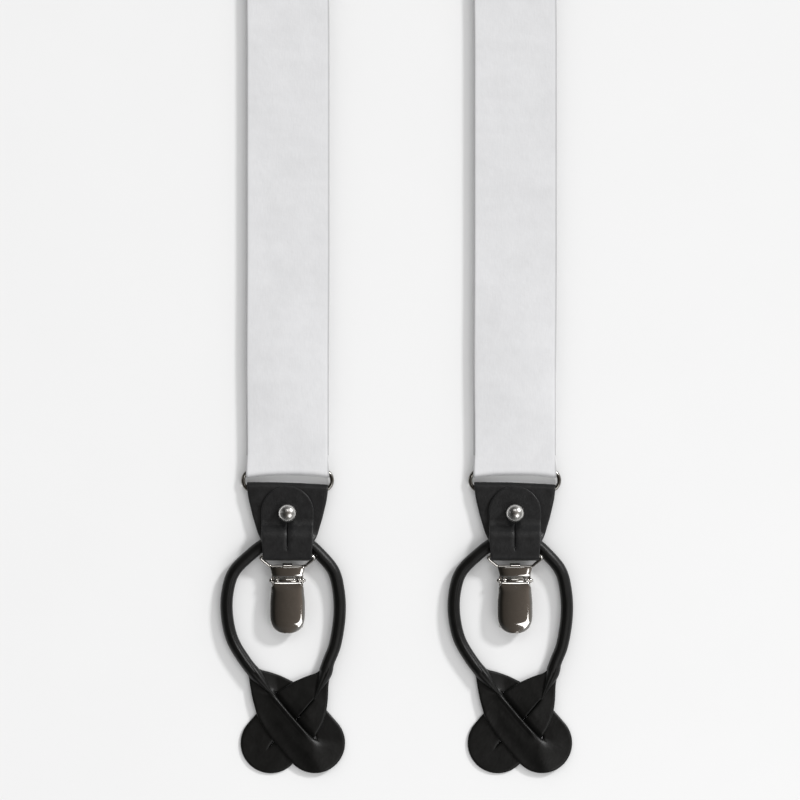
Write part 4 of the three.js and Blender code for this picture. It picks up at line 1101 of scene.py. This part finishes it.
# ---------------------------------------------------------------- sliders
def slider(side, hand):
    """Walls and bars, an axle, and a toothed cover that turns on the axle."""
    top, cover_half, cover_low, cover_high = 8.1, 18.05, -12, 10.2
    axle = (9, 6.3)

    def show(name, body, sharp, rides, node):
        points, faces = body
        placed = (np.asarray(points) + (hand * SPREAD, SLIDER_Y, 0), faces)
        thing = mesh(side + "_slider_" + name, placed, NICKEL, sharp=sharp)
        dress(thing, side + rides, "polished_nickel", side + node)

    walls = [block((x, -12, 1.3), (x + 1.0, 12, top), 0.35) for x in (-19.4, 18.4)]
    bars = [block((-18.9, -10, 1.3), (18.9, -6, 1.9), 0.25), block((-18.9, 8, 2.0), (18.9, 12, 3.1), 0.3)]
    show("body", joined(*walls, *bars), 40, "_slider", "_slider_frame")
    show("axle", rod(-19.8, 19.8, *axle, 0.7, 0.3), 50, "_slider", "_slider_pin")
    ys = spread(cover_low, cover_high, 0.6, 44)
    xs = spread(-cover_half, cover_half, 0.6, 56)
    x, y = np.meshgrid(xs, ys)
    edge = np.minimum(cover_half - np.abs(x), np.minimum(y - cover_low, cover_high - y))
    z = 6.95 + 0.5 * smooth(edge, 0, 1.6) - 0.32 * smooth(edge, 1.9, 2.6) + 0.16 * smooth(edge, 3.6, 4.6)
    z = z + 0.12 * np.cos(x * 2 * math.pi / 2.4) * smooth(edge, 4.4, 5.4)
    cover = leaf(np.dstack([x, y]), np.dstack([x, y, z - 0.3]), 0.8, upright=True, round_edge=0.4)
    teeth = [block((n - 0.6, 5.8, 4.75), (n + 0.6, 6.8, 6.9), 0.15) for n in np.arange(-13.5, 13.6, 2.7)]
    knuckles = [rod(a, b, *axle, 1.25, 0.2, 28) for a, b in ((-cover_half, -16.5), (16.5, cover_half))]
    show("cover", joined(cover, *teeth, *knuckles), 40, "_slider_lever", "_slider_lever")


slider("left", -1)
slider("right", 1)

# The seams that hold the back strap's tail, and how far each is from the ring's bar.
for n, offset in enumerate((29.5, 32.5)):
    path = row(np.linspace(-16, 16, 60), RINGS["back"].y - BAR - offset, FACE + STRAP + 0.02)
    seam = stitches(f"back_seam_{n}", path, WHITE_THREAD, length=2.0, gap=0.8, width=0.45, height=0.3)
    dress(seam, "root", "satin_webbing")

# ---------------------------------------------------------------- surroundings
bpy.ops.mesh.primitive_plane_add(size=12, location=(0, -0.2, -0.0001))
floor = bpy.context.object
floor.name = "floor"
pale = finish_of("pale_table", (0.80, 0.80, 0.80), 0.9, tint=0.004, patch=0.05, spec=0.1,
                 bumps=(("noise", 0.01, 0.00001),))
floor.data.materials.append(pale)

world = bpy.data.worlds.new("studio")
bpy.context.scene.world = world
world.use_nodes = True
add, feed = adder(world.node_tree)
way = add("SeparateXYZ", add("TexCoord").outputs["Generated"]).outputs


def ramp(value, low, high, kind="SMOOTHSTEP"):
    return add("MapRange", interpolation_type=kind, Value=value, From_Min=low, From_Max=high).outputs["Result"]


def blend_color(factor, a, b):
    a, b = ((*value, 1) if isinstance(value, tuple) else value for value in (a, b))
    return add("Mix", data_type="RGBA", Factor=factor, A=a, B=b).outputs["Result"]


# The room that lights the table is pale; what shines back from metal and leather is a darker studio.
lean = ramp(way["X"], -0.4, 0.5, "LINEAR")
above = blend_color(lean, (0.012, 0.011, 0.009), (0.17, 0.145, 0.125))
middle_band = blend_color(lean, (0.04, 0.04, 0.04), (0.20, 0.20, 0.195))
low_band = blend_color(lean, (0.16, 0.16, 0.16), (0.42, 0.42, 0.42))
shine = blend_color(ramp(way["Z"], 0.05, 0.55), low_band, middle_band)
shine = blend_color(ramp(way["Z"], 0.58, 0.86), shine, above)
seen = blend_color(add("LightPath").outputs["Is Glossy Ray"], (0.655, 0.655, 0.655), shine)
background = world.node_tree.nodes["Background"].inputs
feed(background["Color"], seen)
feed(background["Strength"], 1.0)

VIEW_WIDTH = 0.344
CAMERA_HEIGHT = 2.4
STRAP_TOP = 0.005  # the height at which the view has that width
SENSOR = 36
look_x, look_y = -0.0005, (FRONT_Y + 34.6) * MM


def light(name, kind, direction):
    """A light that shines from that direction."""
    data = bpy.data.lights.new(name, kind)
    lamp = add_object(name, data)
    direction = Vector(direction).normalized()
    lamp.rotation_euler = direction.to_track_quat("Z", "Y").to_euler()
    return data, lamp, direction


sun = light("key", "SUN", (1.15, 0.95, 1.0))[0]
sun.energy = 1.75
sun.angle = math.radians(9)


def softbox(name, direction, distance, size, radiance):
    data, box, direction = light(name, "AREA", direction)
    data.shape = "RECTANGLE"
    data.size, data.size_y = size
    data.energy = radiance * math.pi * size[0] * size[1]
    box.location = Vector((look_x, look_y, 0)) + direction * distance


softbox("overhead_box", (0.06, 0.5, 0.86), 1.3, (0.46, 0.30), 2.2)
softbox("lower_right_box", (0.42, -0.45, 0.79), 1.2, (0.60, 0.60), 2.2)
softbox("left_box", (-0.85, 0.12, 0.45), 1.2, (0.12, 0.4), 0.8)

camera_data = bpy.data.cameras.new("camera")
camera_data.sensor_width = SENSOR
camera_data.lens = SENSOR * (CAMERA_HEIGHT - STRAP_TOP) / VIEW_WIDTH
camera_data.clip_end = 50
camera = add_object("camera", camera_data)
camera.location = (look_x, look_y, CAMERA_HEIGHT)
bpy.context.scene.camera = camera
bpy.context.scene.view_settings.view_transform = "Standard"
